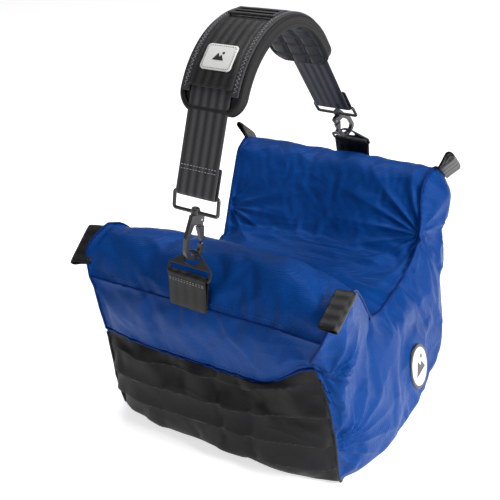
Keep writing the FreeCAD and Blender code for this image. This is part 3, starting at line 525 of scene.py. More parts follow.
lattice = []
for j in range(int(262 / STEP)):
    for i in range(-30, 31):
        y = i * STEP + (STEP / 2 if j % 2 else 0.0)
        z = STEP * 0.5 + j * STEP * 0.9
        depth = inside_distance(y, z)
        if depth > STEP * 0.55:
            lattice.append((y, z, depth))
flat = [Vector((p[0], p[1])) for p in outline[:, :2]] + [Vector((y, z)) for y, z, _ in lattice]
loop_edges = [(i, (i + 1) % rows) for i in range(rows)]
flat_points, _, triangles, origin_points, _, _ = delaunay_2d_cdt(flat, loop_edges, [], 1, 0.01)
source = [ids[0] if ids else -1 for ids in origin_points]


seam_halves = {side: np.array([seam_half(row, side) for row in range(rows)]) for side in (-1, 1)}


def side_depth(y, z, depth, side):
    """Half width of the bag at a point of the side panel."""
    gap = np.hypot(outline[:, 0] - y, outline[:, 1] - z)
    weight = 1 / (gap + 2) ** 2.2
    base = float(np.sum(weight * seam_halves[side]) / np.sum(weight))
    low = float(smoothstep(215, 110, z)) * math.exp(-((y - 10) / 130) ** 4)
    fullness = 5 + 14 * low
    reach = 24 + 6 * low
    wrapped = sum(pull * math.exp(-((y - cy) ** 2 + (z - cz) ** 2) / (1.3 * spread) ** 2)
                  for cy, cz, pull, spread in RIGHT_PULL) if side > 0 else 0.0
    return base + fullness * (1 - math.exp(-depth / reach)) + 0.8 * wrapped * (1 - math.exp(-depth / 12))


def gathers(y, z, depth):
    """Folds that fan out from the puckered seam round the valley, and softer ones low down."""
    if (y - BADGE_Y) ** 2 + (z - BADGE_Z) ** 2 < BADGE_CLEAR ** 2:
        return 0.0
    nearest = int(np.argmin(np.hypot(outline[:, 0] - y, outline[:, 1] - z)))
    s = run[nearest]
    around = math.exp(-((y - 40) / 90) ** 2) * float(smoothstep(110, 150, outline[nearest, 1]))
    fan = math.sin(s / 4.6 + 0.9 * math.sin(s / 17)) * math.exp(-depth / 26)
    soft = math.sin(s / 15 + depth / 24) * math.exp(-((depth - 30) / 30) ** 2)
    return 2.6 * around * fan + 1.1 * soft


for side, name in ((-1, "left_side_panel"), (1, "right_side_panel")):
    placed = {}
    edge_col = 0 if side < 0 else SPAN
    for i, original in enumerate(source):
        if 0 <= original < rows:
            placed[i] = index[original, edge_col]
        elif original >= rows:
            y, z, depth = lattice[original - rows]
            points.append([side * (side_depth(y, z, depth, side) + gathers(y, z, depth)), y, z])
            placed[i] = len(points) - 1
    for triangle in triangles:
        corners = [flat_points[i] for i in triangle]
        middle = sum((Vector(c) for c in corners), Vector((0, 0))) / 3
        if inside_distance(middle.x, middle.y) > 0.01 and all(i in placed for i in triangle):
            faces.append(tuple(placed[i] for i in triangle))
            face_panel.append(name)

bag = mesh_object("bag_cloth", points, faces, BLUE)
recalculated(bag)
rest = np.array(points, float)

seam_rows = [row for row in range(rows) if row_panel[row] != row_panel[row - 1]]
seam_points = {index[row, col] for row in seam_rows for col in range(SPAN + 1)}
edge_points = {index[row, col] for row in range(rows) for col in (0, SPAN)}
base_points = {i for i, p in enumerate(points) if p[2] < 1.0}


def settle(obj):
    """Cloth drape: the panels are cut a little large, held at the seams and blown up softly."""
    hold = obj.vertex_groups.new(name="hold")
    for i, p in enumerate(points):
        weight = 0.05
        if 86 < p[1] < 138 and abs(p[0]) < 140 and p[2] > 150:
            weight = 0.3
        if i in seam_points:
            weight = 0.8
        if i in edge_points:
            weight = 0.6 if p[2] > 140 and p[1] > -180 else 0.95
        if p[0] > 100 and (p[1] - BADGE_Y) ** 2 + (p[2] - BADGE_Z) ** 2 < BADGE_CLEAR ** 2:
            weight = 0.9
        if i in base_points or (p[1] > 175 and 50 < p[2] < 106):
            weight = 1.0
        hold.add([i], weight, "REPLACE")
    cloth = obj.modifiers.new("cloth", "CLOTH")
    settings = cloth.settings
    settings.quality = 5
    settings.mass = 0.25
    settings.tension_stiffness = 18
    settings.compression_stiffness = 18
    settings.shear_stiffness = 8
    settings.bending_stiffness = 0.12
    settings.vertex_group_mass = "hold"
    settings.pin_stiffness = 1.0
    settings.shrink_min = -0.035
    settings.use_pressure = True
    settings.uniform_pressure_force = 4.0
    settings.effector_weights.gravity = 0.0
    cloth.collision_settings.use_collision = False
    cloth.collision_settings.use_self_collision = False
    scene = bpy.context.scene
    scene.frame_start, scene.frame_end = 1, 20
    for number in range(1, 21):
        scene.frame_set(number)
    apply_modifiers(obj)
    scene.frame_set(1)


settle(bag)
moved = np.empty(len(bag.data.vertices) * 3)
bag.data.vertices.foreach_get("co", moved)
moved = moved.reshape(-1, 3) / MM
shift = moved - rest
length = np.linalg.norm(shift, axis=1)
scale = np.where(length > LARGEST_DRAPE, LARGEST_DRAPE / np.maximum(length, 1e-9), 1.0)
settled = rest + shift * scale[:, None]
settled[:, 2] = np.maximum(settled[:, 2], 0.0)
bag.data.vertices.foreach_set("co", (settled * MM).ravel())
bag.data.update()

surface = BVHTree.FromPolygons([Vector(p) for p in settled], faces)


def on_cloth(point, direction, lift=0.0):
    """Where a ray meets the bag, raised by lift, and the outward normal there."""
    way = Vector(direction).normalized()
    hit, normal, _, _ = surface.ray_cast(Vector(point), way)
    if hit is None:
        hit, normal, _, _ = surface.find_nearest(Vector(point))
    if normal.dot(way) > 0:
        normal = -normal
    return hit + normal * lift, normal


def nearest_seam(y, z):
    """For arrays of points: run along the outline, distance to it, and its height and half widths."""
    start = outline[:, :2]
    way = np.roll(start, -1, axis=0) - start
    size = np.maximum(np.sum(way ** 2, axis=1), 1e-9)
    found = []
    for part in np.array_split(np.stack([y, z], 1), 12):
        offset = part[:, None] - start[None]
        t = np.clip(np.sum(offset * way[None], axis=2) / size, 0, 1)
        gaps = np.linalg.norm(offset - t[..., None] * way[None], axis=2)
        row = np.argmin(gaps, axis=1)
        pick = np.arange(len(part))
        found.append(np.stack([row, t[pick, row], gaps[pick, row]], 1))
    row, t, gap = np.concatenate(found).T
    row = row.astype(int)
    after = (row + 1) % rows
    s = run[row] + t * np.sqrt(size[row])
    height, left, right = ((1 - t) * line[row] + t * line[after]
                           for line in (outline[:, 1], seam_halves[-1], seam_halves[1]))
    return s, gap, height, left, right


def ridge_fold(phase):
    """Sharp crests and round hollows, from -1 to 1."""
    return 1 - 2 * np.abs(np.sin(phase))


def fan(across, along, count, reach):
    """Creases that spread out from one pinched point of a seam."""
    distance = np.hypot(across, along)
    angle = np.arctan2(along, across)
    return ridge_fold(count * angle + 0.8 * np.sin(2.3 * angle)) * np.exp(-distance / reach) * (
        1 - np.exp(-distance / 9))


def fine_folds(panel, co):
    """Small sewn-in folds of a panel: pleats, and puckers that run in from the valley's seams."""
    x, y, z = co.T
    s, gap, height, left, right = nearest_seam(y, z)

    def row_at(depth, level):
        return run[int(np.argmin(np.hypot(outline[:, 0] - depth, outline[:, 1] - level)))]

    if panel == "front_lower_panel":
        t = (x + 150) / 300
        climb = 26 * smoothstep(0.62, 1.0, t) * z / 150
        line = z + 4.5 * np.sin(5.2 * t + 0.4) + 2.0 * np.sin(12 * t) - climb
        lap = (-(line - 20) / PLEAT_PITCH) % 1.0
        depth = np.minimum(150 - np.abs(x), 40)
        edge = smoothstep(0, 10, depth) * smoothstep(6, 22, z) * smoothstep(150, 132, z)
        crease = -3.0 * np.exp(-((x - 12 + 0.12 * (z - 80)) / 4) ** 2) * smoothstep(20, 60, z)
        pleat = PLEAT_HEIGHT * lap ** 1.8 * smoothstep(1.0, 0.95, lap) + DEEPEST_FOLD
        return edge * np.maximum(pleat + crease, DEEPEST_FOLD)
    if panel == "top_panel":
        right, left = right - x, left + x
        depth = np.maximum(np.minimum(right, left), 0)
        around = np.exp(-((y - 50) / 80) ** 2)
        fold = 2.6 * around * ridge_fold(s / 9.0 + 0.9 * np.sin(s / 19) + depth / 60)
        fold = fold * np.exp(-depth / 26) * (1 - np.exp(-depth / 4))
        fold += 4.6 * fan(right, s - row_at(100, 192), 7.0, 62) * smoothstep(0, 8, right)
        fold += 3.2 * fan(right, s - row_at(-70, 172), 6.0, 46) * smoothstep(0, 8, right)
        fold += 3.6 * fan(left, s - row_at(90, 180), 6.5, 56) * smoothstep(0, 8, left)
        foot = s - row_at(66, 155) - 0.04 * (x + 40)
        roll_over = 2.6 * np.exp(-((foot + 9) / 8) ** 2) - 1.4 * np.exp(-(foot / 3) ** 2)
        fold += roll_over * smoothstep(-60, 60, x)
        return np.maximum(fold, DEEPEST_FOLD)
    if panel.endswith("side_panel"):
        around = np.exp(-((y - 70) / 80) ** 2) * smoothstep(125, 150, height)
        fold = 2.2 * around * ridge_fold(s / 9.0 + 0.9 * np.sin(s / 19) + gap / 70)
        fold = fold * np.exp(-gap / 26) * (1 - np.exp(-gap / 5))
        off_seam = smoothstep(0, 10, gap)
        from_badge = np.hypot(y - BADGE_Y, z - BADGE_Z)
        badge = smoothstep(BADGE_CLEAR, 56, from_badge) if panel.startswith("right") else 1.0
        fold += 3.4 * fan(y + 182, z - 64, 9.0, 62) * off_seam
        fold += 3.2 * fan(y + 182, z - 165, 7.0, 46) * off_seam
        fold += 3.6 * fan(z - 196, y - 104, 6.0, 46) * off_seam
        return np.maximum(fold * badge, DEEPEST_FOLD)
    return np.zeros(len(co))


def panel_piece(name, panels, material, inset=0.0, thickness=1.2):
    """One sewn panel cut from the settled cloth, with real thickness."""
    work = bmesh.new()
    work.from_mesh(bag.data)
    work.faces.ensure_lookup_table()
    if inset:
        work.normal_update()
        for _ in range(4):
            bmesh.ops.smooth_vert(work, verts=work.verts, factor=0.5, use_axis_x=True,
                                  use_axis_y=True, use_axis_z=True)
        work.normal_update()
        for vertex in work.verts:
            vertex.co -= vertex.normal * inset * MM
    drop = [f for f, panel in zip(work.faces, face_panel) if panel not in panels]
    bmesh.ops.delete(work, geom=drop, context="FACES")
    data = bpy.data.meshes.new(name)
    work.to_mesh(data)
    work.free()
    data.materials.clear()
    data.materials.append(material)
    data.polygons.foreach_set("use_smooth", [True] * len(data.polygons))
    made = bpy.data.objects.new(name, data)
    bpy.context.scene.collection.objects.link(made)
    smoother = made.modifiers.new("smooth", "SUBSURF")
    smoother.levels = smoother.render_levels = 2 if thickness else 1
    smoother.boundary_smooth = "PRESERVE_CORNERS"
    if thickness:
        apply_modifiers(made)
        count = len(made.data.vertices)
        co, normals = np.empty(count * 3), np.empty(count * 3)
        made.data.vertices.foreach_get("co", co)
        made.data.vertices.foreach_get("normal", normals)
        co, normals = co.reshape(-1, 3) / MM, normals.reshape(-1, 3)
        co += normals * fine_folds(next(iter(panels)), co)[:, None]
        co[:, 2] = np.maximum(co[:, 2], 0.0)
        made.data.vertices.foreach_set("co", (co * MM).ravel())
        made.data.update()
        shell = made.modifiers.new("shell", "SOLIDIFY")
        shell.thickness = thickness * MM
        shell.offset = -1
    apply_modifiers(made)
    return made


BLUE_PANELS = ("top_panel", "front_band", "back_band", "left_side_panel", "right_side_panel")
BLACK_PANELS = ("front_lower_panel", "back_lower_panel", "base_panel")
for node in BLUE_PANELS + BLACK_PANELS:
    material, slot_name = (BLUE, "blue_nylon") if node in BLUE_PANELS else (BLACK, "black_nylon")
    piece = panel_piece("cloth_" + node, {node}, material)
    attach(piece, "bag", node)
every_panel = set(BLUE_PANELS + BLACK_PANELS)
liner = panel_piece("cloth_inner_liner", every_panel, LINER, inset=4.5, thickness=0.0)
attach(liner, "bag", "inner_liner")
fill = panel_piece("bead_filling", every_panel, BEADS, inset=7.0, thickness=0.0)
attach(fill, "bag", "bead_fill")
bpy.data.objects.remove(bag)

# ---------------------------------------------------------------- seams

settled_points = [Vector(p) for p in settled]
for side, edge_col in (("left", 0), ("right", SPAN)):
    for part, panels, material, slot_name in (
            ("front", ("front_lower_panel",), BLACK, "black_nylon"),
            ("middle", ("front_band", "top_panel", "back_band"), BLUE_TRIM, "blue_nylon"),
            ("back", ("back_lower_panel",), BLACK, "black_nylon")):
        line = [settled_points[index[row, edge_col]] for row in range(rows) if row_panel[row] in panels]
        line = [Vector((point.x, point.y, max(point.z, 1.8))) for point in line]
        cord = sweep(f"seam_edge_{side}_{part}", line, round_section(1.5), material)
        attach(cord, "bag")
SEAM_CORDS = {"front_band": ("seam_band_front", 2.0), "top_panel": ("seam_ridge_front", 1.3),
              "back_band": ("seam_ridge_back", 1.3), "back_lower_panel": ("seam_band_back", 2.0)}
for row in seam_rows:
    if row_panel[row] in SEAM_CORDS:
        name, radius = SEAM_CORDS[row_panel[row]]
        line = [settled_points[index[row, col]] for col in range(SPAN + 1)]
        attach(sweep(name, line, round_section(radius), BLUE_TRIM), "bag")


def row_line(row, cols, lift):
    """Points along a row of the settled cloth, raised off it."""
    away = Vector((0, outward[row][0], outward[row][1]))
    return [settled_points[index[row, col]] + away * lift for col in cols]


for row in seam_rows:
    if row_panel[row] != "base_panel":
        line = row_line((row + 1) % rows, range(1, SPAN), 0.6)
        thread = stitches(f"seam_thread_{row_panel[row]}", [line], THREAD_BLUE, 3.2, 1.6, 0.3)
        attach(thread, "bag")

# ---------------------------------------------------------------- webbing pieces


def ribbon(name, path, sides, width, thickness, material, across=10):
    """Flat webbing: a centre line, the width direction at each point, and soft edges."""
    count = len(path)
    path = [Vector(p) for p in path]
    top, bottom, uv = [], [], []
    travelled = 0.0
    for i, here in enumerate(path):
        tangent = (path[min(i + 1, count - 1)] - path[max(i - 1, 0)]).normalized()
        side = sides[i].normalized()
        normal = side.cross(tangent).normalized()
        travelled += (here - path[i - 1]).length if i else 0.0
        for k in range(across + 1):
            u = 2 * k / across - 1
            half_thick = thickness / 2 * (1 - 0.65 * abs(u) ** 12)
            spot = here + side * (u * width / 2)
            top.append(spot + normal * half_thick)
            bottom.append(spot - normal * half_thick)
            uv.append((u * width / 2 * MM, travelled * MM))
    made = mesh_object(name, top + bottom, shell_faces(count, across), material, uv + uv)
    smoother = recalculated(made).modifiers.new("smooth", "SUBSURF")
    smoother.levels = smoother.render_levels = 1
    return apply_modifiers(made)


def folded_loop(origin, along, normal, width_axis, reach, radius, droop=0.0):
    """Centre line of webbing folded on itself: out, round a bend and back, and its width axes."""
    along, normal = along.normalized(), normal.normalized()
    spread = 1.6
    flat_shape = [(0.0, spread)]
    flat_shape += [(reach * t, spread + (radius - spread) * t ** 1.3) for t in (0.2, 0.4, 0.6, 0.8)]
    for k in range(9):
        angle = math.radians(90 - 180 * k / 8)
        flat_shape.append((reach + radius * math.cos(angle), radius * math.sin(angle)))
    flat_shape += [(reach * t, -spread - (radius - spread) * t ** 1.3) for t in (0.8, 0.6, 0.4, 0.2)]
    flat_shape.append((0.0, -spread))
    path = []
    for a, b in flat_shape:
        sag = Vector((0, 0, -droop * (max(a, 0.0) / (reach + radius)) ** 2))
        path.append(origin + along * a + normal * b + sag)
    return path, [width_axis.normalized()] * len(path)


def loop_piece(node, origin, along, normal, width_axis, reach, radius, droop=0.0):
    path, sides = folded_loop(origin, along, normal, width_axis, reach, radius, droop)
    made = ribbon("webbing_" + node, path, sides, 50, 1.7, LOOPS)
    attach(made, "bag", node)
    across = width_axis.normalized()
    lines = []
    for sign in (1, -1):
        spot = origin + along.normalized() * 4 + normal.normalized() * sign * 2.9
        lines.append([spot - across * 23, spot + across * 23])
    thread = stitches("thread_" + node, lines, THREAD_DARK, 2.6, 1.2, 0.35)
    attach(thread, "bag")


def lobe_frame(end):
    """Direction out of the lobe at the corner loops, and along the lobe's curve."""
    tilt = math.radians(37)
    out = Vector((0, end * math.sin(tilt), math.cos(tilt)))
    width = Vector((0, end * math.cos(tilt), -math.sin(tilt)))
    return out, width


out, width = lobe_frame(-1)
spot = Vector((0, -148, 212)) + out * 44
flatter = Vector((0, -math.cos(math.radians(22)), -math.sin(math.radians(22))))
loop_piece("front_left_loop", spot + Vector((-154, 0, -3)), Vector((-1, 0, -0.08)), out, width,
           25.0, 4.6, droop=4.0)
loop_piece("front_right_loop", spot + out * 4 + Vector((140, -6, -4)), Vector((1, -0.1, 0.05)),
           out, flatter, 18.0, 5.0, droop=-1.0)
out, width = lobe_frame(1)
spot = Vector((0, 150, 212)) + out * 46
loop_piece("back_left_loop", spot + Vector((-148, 0, 0)), Vector((-0.6, 0.1, 0.85)),
           Vector((0.85, 0, 0.6)), width, 20.0, 4.4)
loop_piece("back_right_loop", spot + Vector((141, 0, 0)), Vector((0.55, 0.1, 0.85)),
           Vector((-0.85, 0, 0.55)), width, 22.0, 6.0)

# ---------------------------------------------------------------- strap frame

SKEW = math.radians(-3.0)
ARCH = Vector((0, -41, 385))
RADIUS = 105.0
FRONT_BEND, BACK_BEND = -math.radians(68) * RADIUS, math.radians(52) * RADIUS
X_DIR = Vector((math.cos(SKEW), math.sin(SKEW), 0))


def world(p):
    """From the strap's own plane to the row frame, in mm."""
    x, y, z = p
    return Vector((x * math.cos(SKEW) - y * math.sin(SKEW) - 4, x * math.sin(SKEW) + y * math.cos(SKEW), z))


def along_arch(run_length, height, x=0.0):
    """A point at a distance from the arch's top (minus: towards the front) and a height off it."""
    held = min(max(run_length, FRONT_BEND), BACK_BEND)
    angle = held / RADIUS
    radial = Vector((0, math.sin(angle), math.cos(angle)))
    tangent = Vector((0, math.cos(angle), -math.sin(angle)))
    spot = ARCH + radial * (RADIUS + height) + tangent * (run_length - held)
    return world(spot + Vector((x, 0, 0)))


FRONT_END, BACK_END = FRONT_BEND - 95, BACK_BEND + 143
fold = 3.2
strap_path = [along_arch(FRONT_END + 30 - 30 * t, -2 * fold + 0.6 * (1 - t)) for t in np.linspace(0, 1, 7)]
strap_path += [along_arch(FRONT_END - fold * math.sin(a), -fold - fold * math.cos(a))
               for a in np.linspace(0, math.pi, 9)[1:-1]]
strap_path += [along_arch(s, 0.0) for s in np.linspace(FRONT_END, BACK_END, 90)]
strap_path += [along_arch(BACK_END + fold * math.sin(a), fold - fold * math.cos(a))
               for a in np.linspace(0, math.pi, 9)[1:-1]]
strap_path += [along_arch(BACK_END - 30 * t, 2 * fold - 0.6 * t) for t in np.linspace(0, 1, 7)]
strap = ribbon("strap_ribbon", strap_path, [X_DIR] * len(strap_path), 50, 1.6, STRAP, across=20)
attach(strap, "strap", "strap_webbing")
lines = []
for height, start in ((1.1, FRONT_END + 24), (1.1, FRONT_END + 28)):
    lines.append([along_arch(start, height, x) for x in (-23, 23)])
for height, start in ((2 * fold + 1.1, BACK_END - 24), (2 * fold + 1.1, BACK_END - 28)):
    lines.append([along_arch(start, height, x) for x in (-23, 23)])
thread = stitches("strap_thread", lines, THREAD_LIGHT, 2.6, 1.2, 0.4)
attach(thread, "strap")

# ring tabs: webbing folded round each ring's bar, sewn into the ridge seam
TABS = {
    "front_ring_tab": (Vector((0, -200.6, 218)), Vector((0, -197.03, 251.15)), 0.0),
    "back_ring_tab": (Vector((0, 200.6, 218)), Vector((0, 189.69, 271.32)), 6.0),
}
for node, (foot, bar, bow) in TABS.items():
    towards = -1 if node.startswith("front") else 1
    along = (bar - foot).normalized()
    normal = Vector((1, 0, 0)).cross(along).normalized()
    reach = (bar - foot).length
    flat_shape = [(-6.0, 1.0), (reach * 0.3, 1.2), (reach * 0.6, 1.6), (reach - 4, 2.8)]
    flat_shape += [(reach + 3.3 * math.cos(a), 3.3 * math.sin(a))
                   for a in np.linspace(math.pi / 2, -math.pi / 2, 9)]
    flat_shape += [(reach - 4, -2.8), (reach * 0.6, -1.6), (reach * 0.3, -1.2), (-6.0, -1.0)]
    path = [world(foot + along * a + normal * b) for a, b in flat_shape]
    made = ribbon("webbing_" + node, path, [X_DIR] * len(path), 50, 1.6, TAB)
    attach(made, "bag", node)
    outer = normal if normal.y * towards > 0 else -normal
    lines = []
    for a, height in ((reach - 5, 3.7), (reach - 7, 3.6)):
        lines.append([world(foot + along * a + outer * height + Vector((x, 0, 0))) for x in (-23, 23)])
    thread = stitches("thread_" + node, lines, THREAD_LIGHT, 2.6, 1.2, 0.36)
    attach(thread, "bag")

# ---------------------------------------------------------------- shoulder pad

PAD_START, PAD_STOP = FRONT_BEND - 11, BACK_BEND + 34
PAD_CORNER = 20.0


def pad_half_width(s, half):
    """Half width of the pad at a run length: straight sides and round corners."""
    inset = min(s - PAD_START, PAD_STOP - s)
    if inset >= PAD_CORNER:
        return half
    reach = PAD_CORNER - max(inset, 0.0)
    return half - PAD_CORNER + math.sqrt(max(PAD_CORNER ** 2 - reach ** 2, 0.0))


def slab(name, low, high, half, material, margin=0.0, rows_here=150, across=40, relief=None):
    """A slab bent over the arch, its lower face shaped by relief(x, s)."""
    top, bottom, uv = [], [], []
    for s in np.linspace(PAD_START + margin, PAD_STOP - margin, rows_here):
        reach = pad_half_width(s, half)
        for k in range(across + 1):
            u = 2 * k / across - 1
            x = u * reach
            rim = 1.4 * abs(u) ** 10
            depth = relief(x, s) if relief else 0.0
            top.append(along_arch(s, high - rim, x))
            bottom.append(along_arch(s, low + rim + depth, x))
            uv.append((x * MM, s * MM))
    faces_here = shell_faces(rows_here, across)
    return recalculated(mesh_object(name, top + bottom, faces_here, material, uv + uv))


def air_cells(x, s):
    """Depth of the channels between the moulded cells, zero on a cell's crown."""
    column = abs(((x + 11.5) / 23.0) % 1.0 - 0.5) * 2
    row_share = abs((s / 19.0) % 1.0 - 0.5) * 2
    crown = (1 - column ** 5) * (1 - row_share ** 5)
    return 5.2 * (1 - max(0.0, crown) ** 0.5)


core = slab("pad_core_soft", -8.6, -2.2, 34.5, FOAM, margin=3.0)
attach(core, "shoulder_pad", "pad_core")
grip = slab("pad_grip_cells", -14.4, -8.2, 34.2, RUBBER, margin=3.2, rows_here=190, across=66,
            relief=air_cells)
attach(grip, "shoulder_pad", "pad_grip")
edge_section = [(3.2, -6.2), (3.4, -4.0), (2.4, -0.4), (3.4, 2.8), (3.0, 5.4), (0.6, 6.4), (-2.6, 6.2),
                (-2.8, 5.2), (-1.6, 4.4), (-1.2, -4.6), (-2.6, -5.4), (-2.4, -6.6), (0.6, -7.2)]


def pad_outline(half, margin, height, count=150):
    """The pad's edge line, all the way round, and the direction off the pad at each point."""
    stops = list(np.linspace(PAD_START + margin, PAD_STOP - margin, count))
    ends = [PAD_START + margin + PAD_CORNER * (1 - math.cos(a)) for a in np.linspace(0, math.pi / 2, 12)]
    stops = sorted(set(ends + [s for s in stops if s > ends[-1]]))
    mirrored_ends = [PAD_STOP - margin - (e - PAD_START - margin) for e in ends]
    stops = sorted(set([s for s in stops if s < mirrored_ends[-1]] + mirrored_ends))
    right = [(s, pad_half_width(s, half)) for s in stops]
    left = [(s, -w) for s, w in reversed(right)]
    line, ups = [], []
    for s, x in right + left:
        here = along_arch(s, height, x)
        line.append(here)
        ups.append(along_arch(s, height + 1, x) - here)
    return line, ups


line, ups = pad_outline(35.0, 2.0, -5.4)
binding = sweep("pad_edge_binding", line, edge_section, BINDING, closed=True, up=ups)
attach(binding, "shoulder_pad", "pad_binding")


def arch_strip(name, start, stop, low, high, x_low, x_high, material, hem=0.0, across=16):
    """A strip lying on the arch between two run lengths and two x values."""
    count = max(8, int((stop - start) / 4))
    top, bottom, uv = [], [], []
    for i in range(count + 1):
        s = start + (stop - start) * i / count
        lifted = hem * math.exp(-(s - start) / 5.0)
        for k in range(across + 1):
            t = k / across
            x = x_low + (x_high - x_low) * t
            rim = 0.5 * abs(2 * t - 1) ** 8
            top.append(along_arch(s, high - rim + lifted, x))
            bottom.append(along_arch(s, low + lifted * 0.9, x))
            uv.append((x * MM, s * MM))
    faces_here = shell_faces(count + 1, across)
    return recalculated(mesh_object(name, top + bottom, faces_here, material, uv + uv))


def degrees(angle):
    return math.radians(angle) * RADIUS


sleeves = {"pad_front_sleeve": (degrees(-61), degrees(-13)), "pad_back_sleeve": (degrees(9), degrees(52))}
for node, (start, stop) in sleeves.items():
    made = arch_strip("cloth_" + node, start, stop, 2.2, 4.0, -26.5, 26.5, SLEEVE,
                      hem=1.2 if node == "pad_front_sleeve" else 0.0, across=24)
    attach(made, "shoulder_pad", node)
for node, low_x, high_x in (("pad_left_edge_tape", -34.0, -26.2), ("pad_right_edge_tape", 26.2, 34.0)):
    made = arch_strip("cloth_" + node, degrees(-64), degrees(56), -2.3, 3.2, low_x, high_x, MESH)
    attach(made, "shoulder_pad", node)
    middle = (low_x + high_x) / 2
    zigzag = [along_arch(degrees(a), 3.5, middle + (1.9 if i % 2 else -1.9))
              for i, a in enumerate(np.arange(-62, 54, 1.1))]
    thread = stitches("zigzag_" + node, [zigzag], THREAD_LIGHT, 2.6, 0.2, 0.26)
    attach(thread, "shoulder_pad")

# label with a stitched border and a plain mark
label_mid = degrees(-44)


def rounded_plate(half_x, half_s, corner, count=8):
    """Outline of a rounded rectangle as (x, run) pairs."""
    shape = []
    for cx, cs, first in ((1, 1, 0), (-1, 1, 90), (-1, -1, 180), (1, -1, 270)):
        for k in range(count + 1):
            angle = math.radians(first + 90 * k / count)
            shape.append((cx * (half_x - corner) + corner * math.cos(angle),
                          cs * (half_s - corner) + corner * math.sin(angle)))
    return shape


def plate_on(name, shape, place, low, high, material, rings=6):
    """A thin plate with a given outline; place(x, s, height) gives its points."""
    points_here, quads, uv = [], [], []
    size = len(shape)
    levels = [(low, 1.0), (high - 0.15, 1.0), (high, 0.985)]
    levels += [(high, 1 - r / rings) for r in range(1, rings)]
    for height, share in levels:
        for x, s in shape:
            points_here.append(place(x * share, s * share, height))
            uv.append((x * share * MM, s * share * MM))
    for level in range(len(levels) - 1):
        for k in range(size):
            m = (k + 1) % size
            a, b = level * size, (level + 1) * size
            quads.append((a + k, a + m, b + m, b + k))
    points_here.append(place(0, 0, high))
    uv.append((0, 0))
    last = (len(levels) - 1) * size
    for k in range(size):
        quads.append((last + k, last + (k + 1) % size, len(points_here) - 1))
    points_here.append(place(0, 0, low))
    uv.append((0, 0))
    for k in range(size):
        quads.append(((k + 1) % size, k, len(points_here) - 1))
    return recalculated(mesh_object(name, points_here, quads, material, uv))


def on_label(x, s, height):
    return along_arch(label_mid + s, 4.0 + height, x)


label = plate_on("label_plate", rounded_plate(18.5, 14, 4), on_label, -0.2, 1.0, LABEL)
attach(label, "shoulder_pad", "pad_label")
border = rounded_plate(16.6, 12.1, 3)
thread = stitches("label_thread", [[on_label(x, s, 1.15) for x, s in border + border[:1]]],
                  THREAD_DARK, 1.8, 0.9, 0.26)
attach(thread, "shoulder_pad")


def peak_mark(size):
    """A plain mark: two hills under a dot, as closed outlines."""
    hills = [(-1.0, -0.55), (1.0, -0.55), (0.42, 0.34), (0.16, -0.02), (-0.26, 0.62)]
    dot = [(0.62 + 0.2 * math.cos(a), 0.66 + 0.2 * math.sin(a))
           for a in np.linspace(0, 2 * math.pi, 16, endpoint=False)]
    return [[(x * size, s * size) for x, s in shape] for shape in (hills, dot)]


def flat_mark(name, shapes, place, low, high, material):
    """Thin raised shapes, one closed prism each."""
    points_here, polygons = [], []
    for shape in shapes:
        base = len(points_here)
        size = len(shape)
        for height in (low, high):
            points_here += [place(x, s, height) for x, s in shape]
        polygons.append(tuple(base + size + k for k in range(size)))
        polygons.append(tuple(base + k for k in reversed(range(size))))
        for k in range(size):
            m = (k + 1) % size
            polygons.append((base + k, base + m, base + size + m, base + size + k))
    return recalculated(mesh_object(name, points_here, polygons, material, smooth=False))


mark = flat_mark("label_mark", peak_mark(6.6), on_label, 0.8, 1.25, BLACK_PRINT)
attach(mark, "shoulder_pad")

# side badge, laid on the cloth
badge_centre, _ = on_cloth(Vector((260, BADGE_Y, BADGE_Z)), (-1, 0, 0))
spread = [on_cloth(Vector((260, BADGE_Y + 24 * math.cos(a), BADGE_Z + 24 * math.sin(a))), (-1, 0, 0))[0]
          for a in np.linspace(0, 2 * math.pi, 12, endpoint=False)]
flat_normal = (spread[3] - spread[9]).cross(spread[0] - spread[6]).normalized()
if flat_normal.x < 0:
    flat_normal = -flat_normal
upwards = (Vector((0, 0, 1)) - flat_normal * flat_normal.z).normalized()
forwards = upwards.cross(flat_normal).normalized()
average = sum(spread, Vector()) / len(spread)
badge_base = average + flat_normal * max(0.8, (badge_centre - average).dot(flat_normal) * 0.6)


def on_badge(x, s, height):
    return badge_base + forwards * x + upwards * s + flat_normal * height


circle = [(28.5 * math.cos(a), 28.5 * math.sin(a)) for a in np.linspace(0, 2 * math.pi, 72, endpoint=False)]
badge = plate_on("badge_rim", circle, on_badge, -3.0, 1.2, BLACK_PRINT, rings=8)
attach(badge, "bag", "side_badge")
inner = [(x * 0.86, s * 0.86) for x, s in circle]
face_plate = plate_on("badge_face", inner, on_badge, 1.0, 1.7, WHITE_PRINT, rings=8)
attach(face_plate, "bag")
mark = flat_mark("badge_mark", peak_mark(15.0), on_badge, 1.5, 2.0, BLACK_PRINT)
attach(mark, "bag")

# ---------------------------------------------------------------- carried-over hardware

HARDWARE = {"strap_slider": PLASTIC, "fill_zip_tape": BINDING, "fill_zip_teeth": ZIP,
            "fill_zip_slider": METAL, "fill_zip_pull": METAL}
for end in ("front", "back"):
    for piece in ("strap_loop", "swivel_stud", "hook_body", "hook_gate", "ring"):
        HARDWARE[f"{end}_{piece}"] = METAL
    HARDWARE[f"{end}_gate_pin"] = STEEL
    HARDWARE[f"{end}_gate_spring"] = STEEL
for node, material in HARDWARE.items():
    obj = frame["nodes"][node]
    obj.data.materials.clear()
    obj.data.materials.append(material)

# ---------------------------------------------------------------- stage, light and camera

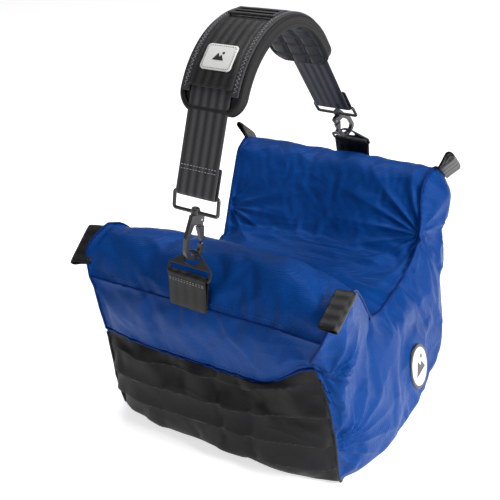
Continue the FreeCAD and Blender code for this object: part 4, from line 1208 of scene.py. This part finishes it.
paper = Material("paper", (0.9, 0.9, 0.9, 1), rough=0.95, specular=0.1)
paper.set("Emission Color", (1, 1, 1, 1))
paper.set("Emission Strength", 0.66)
paper.blend(paper.noise(3.0, 2.0), (0.895, 0.895, 0.895, 1), (0.905, 0.905, 0.905, 1))
floor = mesh_object("floor", [(-6000, -6000, -0.6), (6000, -6000, -0.6), (6000, 6000, -0.6),
                              (-6000, 6000, -0.6)], [(0, 1, 2, 3)], paper.data)

world_data = bpy.data.worlds.new("studio")
bpy.context.scene.world = world_data
world_data.use_nodes = True
world_data.node_tree.nodes["Background"].inputs["Color"].default_value = (1, 1, 1, 1)
world_data.node_tree.nodes["Background"].inputs["Strength"].default_value = 0.25


def area_light(name, place, target, size, power):
    data = bpy.data.lights.new(name, "AREA")
    data.energy = power
    data.size = size
    made = bpy.data.objects.new(name, data)
    made.location = place
    made.rotation_euler = (Vector(target) - Vector(place)).to_track_quat("-Z", "Y").to_euler()
    bpy.context.scene.collection.objects.link(made)


area_light("key", (1.9, -0.2, 1.2), (0, 0, 0.2), 0.7, 46)
area_light("top", (-0.3, 0.5, 2.0), (0, 0, 0.2), 0.9, 20)
bpy.context.scene.view_settings.view_transform = "Standard"

azimuth, elevation, roll = (math.radians(a) for a in (31.03, 28.75, -2.68))
back_axis = Vector((math.sin(azimuth) * math.cos(elevation), -math.cos(azimuth) * math.cos(elevation),
                    math.sin(elevation)))
right_axis = Vector((math.cos(azimuth), math.sin(azimuth), 0))
up_axis = back_axis.cross(right_axis)
camera_x = right_axis * math.cos(roll) + up_axis * math.sin(roll)
camera_y = up_axis * math.cos(roll) - right_axis * math.sin(roll)
camera_data = bpy.data.cameras.new("camera")
camera_data.sensor_width = 36
camera_data.lens = 56.42928
camera = bpy.data.objects.new("camera", camera_data)
bpy.context.scene.collection.objects.link(camera)
camera.matrix_world = Matrix.Translation((0.4108, -0.7741, 0.6702)) @ Matrix((
    (camera_x.x, camera_y.x, back_axis.x, 0), (camera_x.y, camera_y.y, back_axis.y, 0),
    (camera_x.z, camera_y.z, back_axis.z, 0), (0, 0, 0, 1)))
bpy.context.scene.camera = camera

bpy.context.view_layer.update()
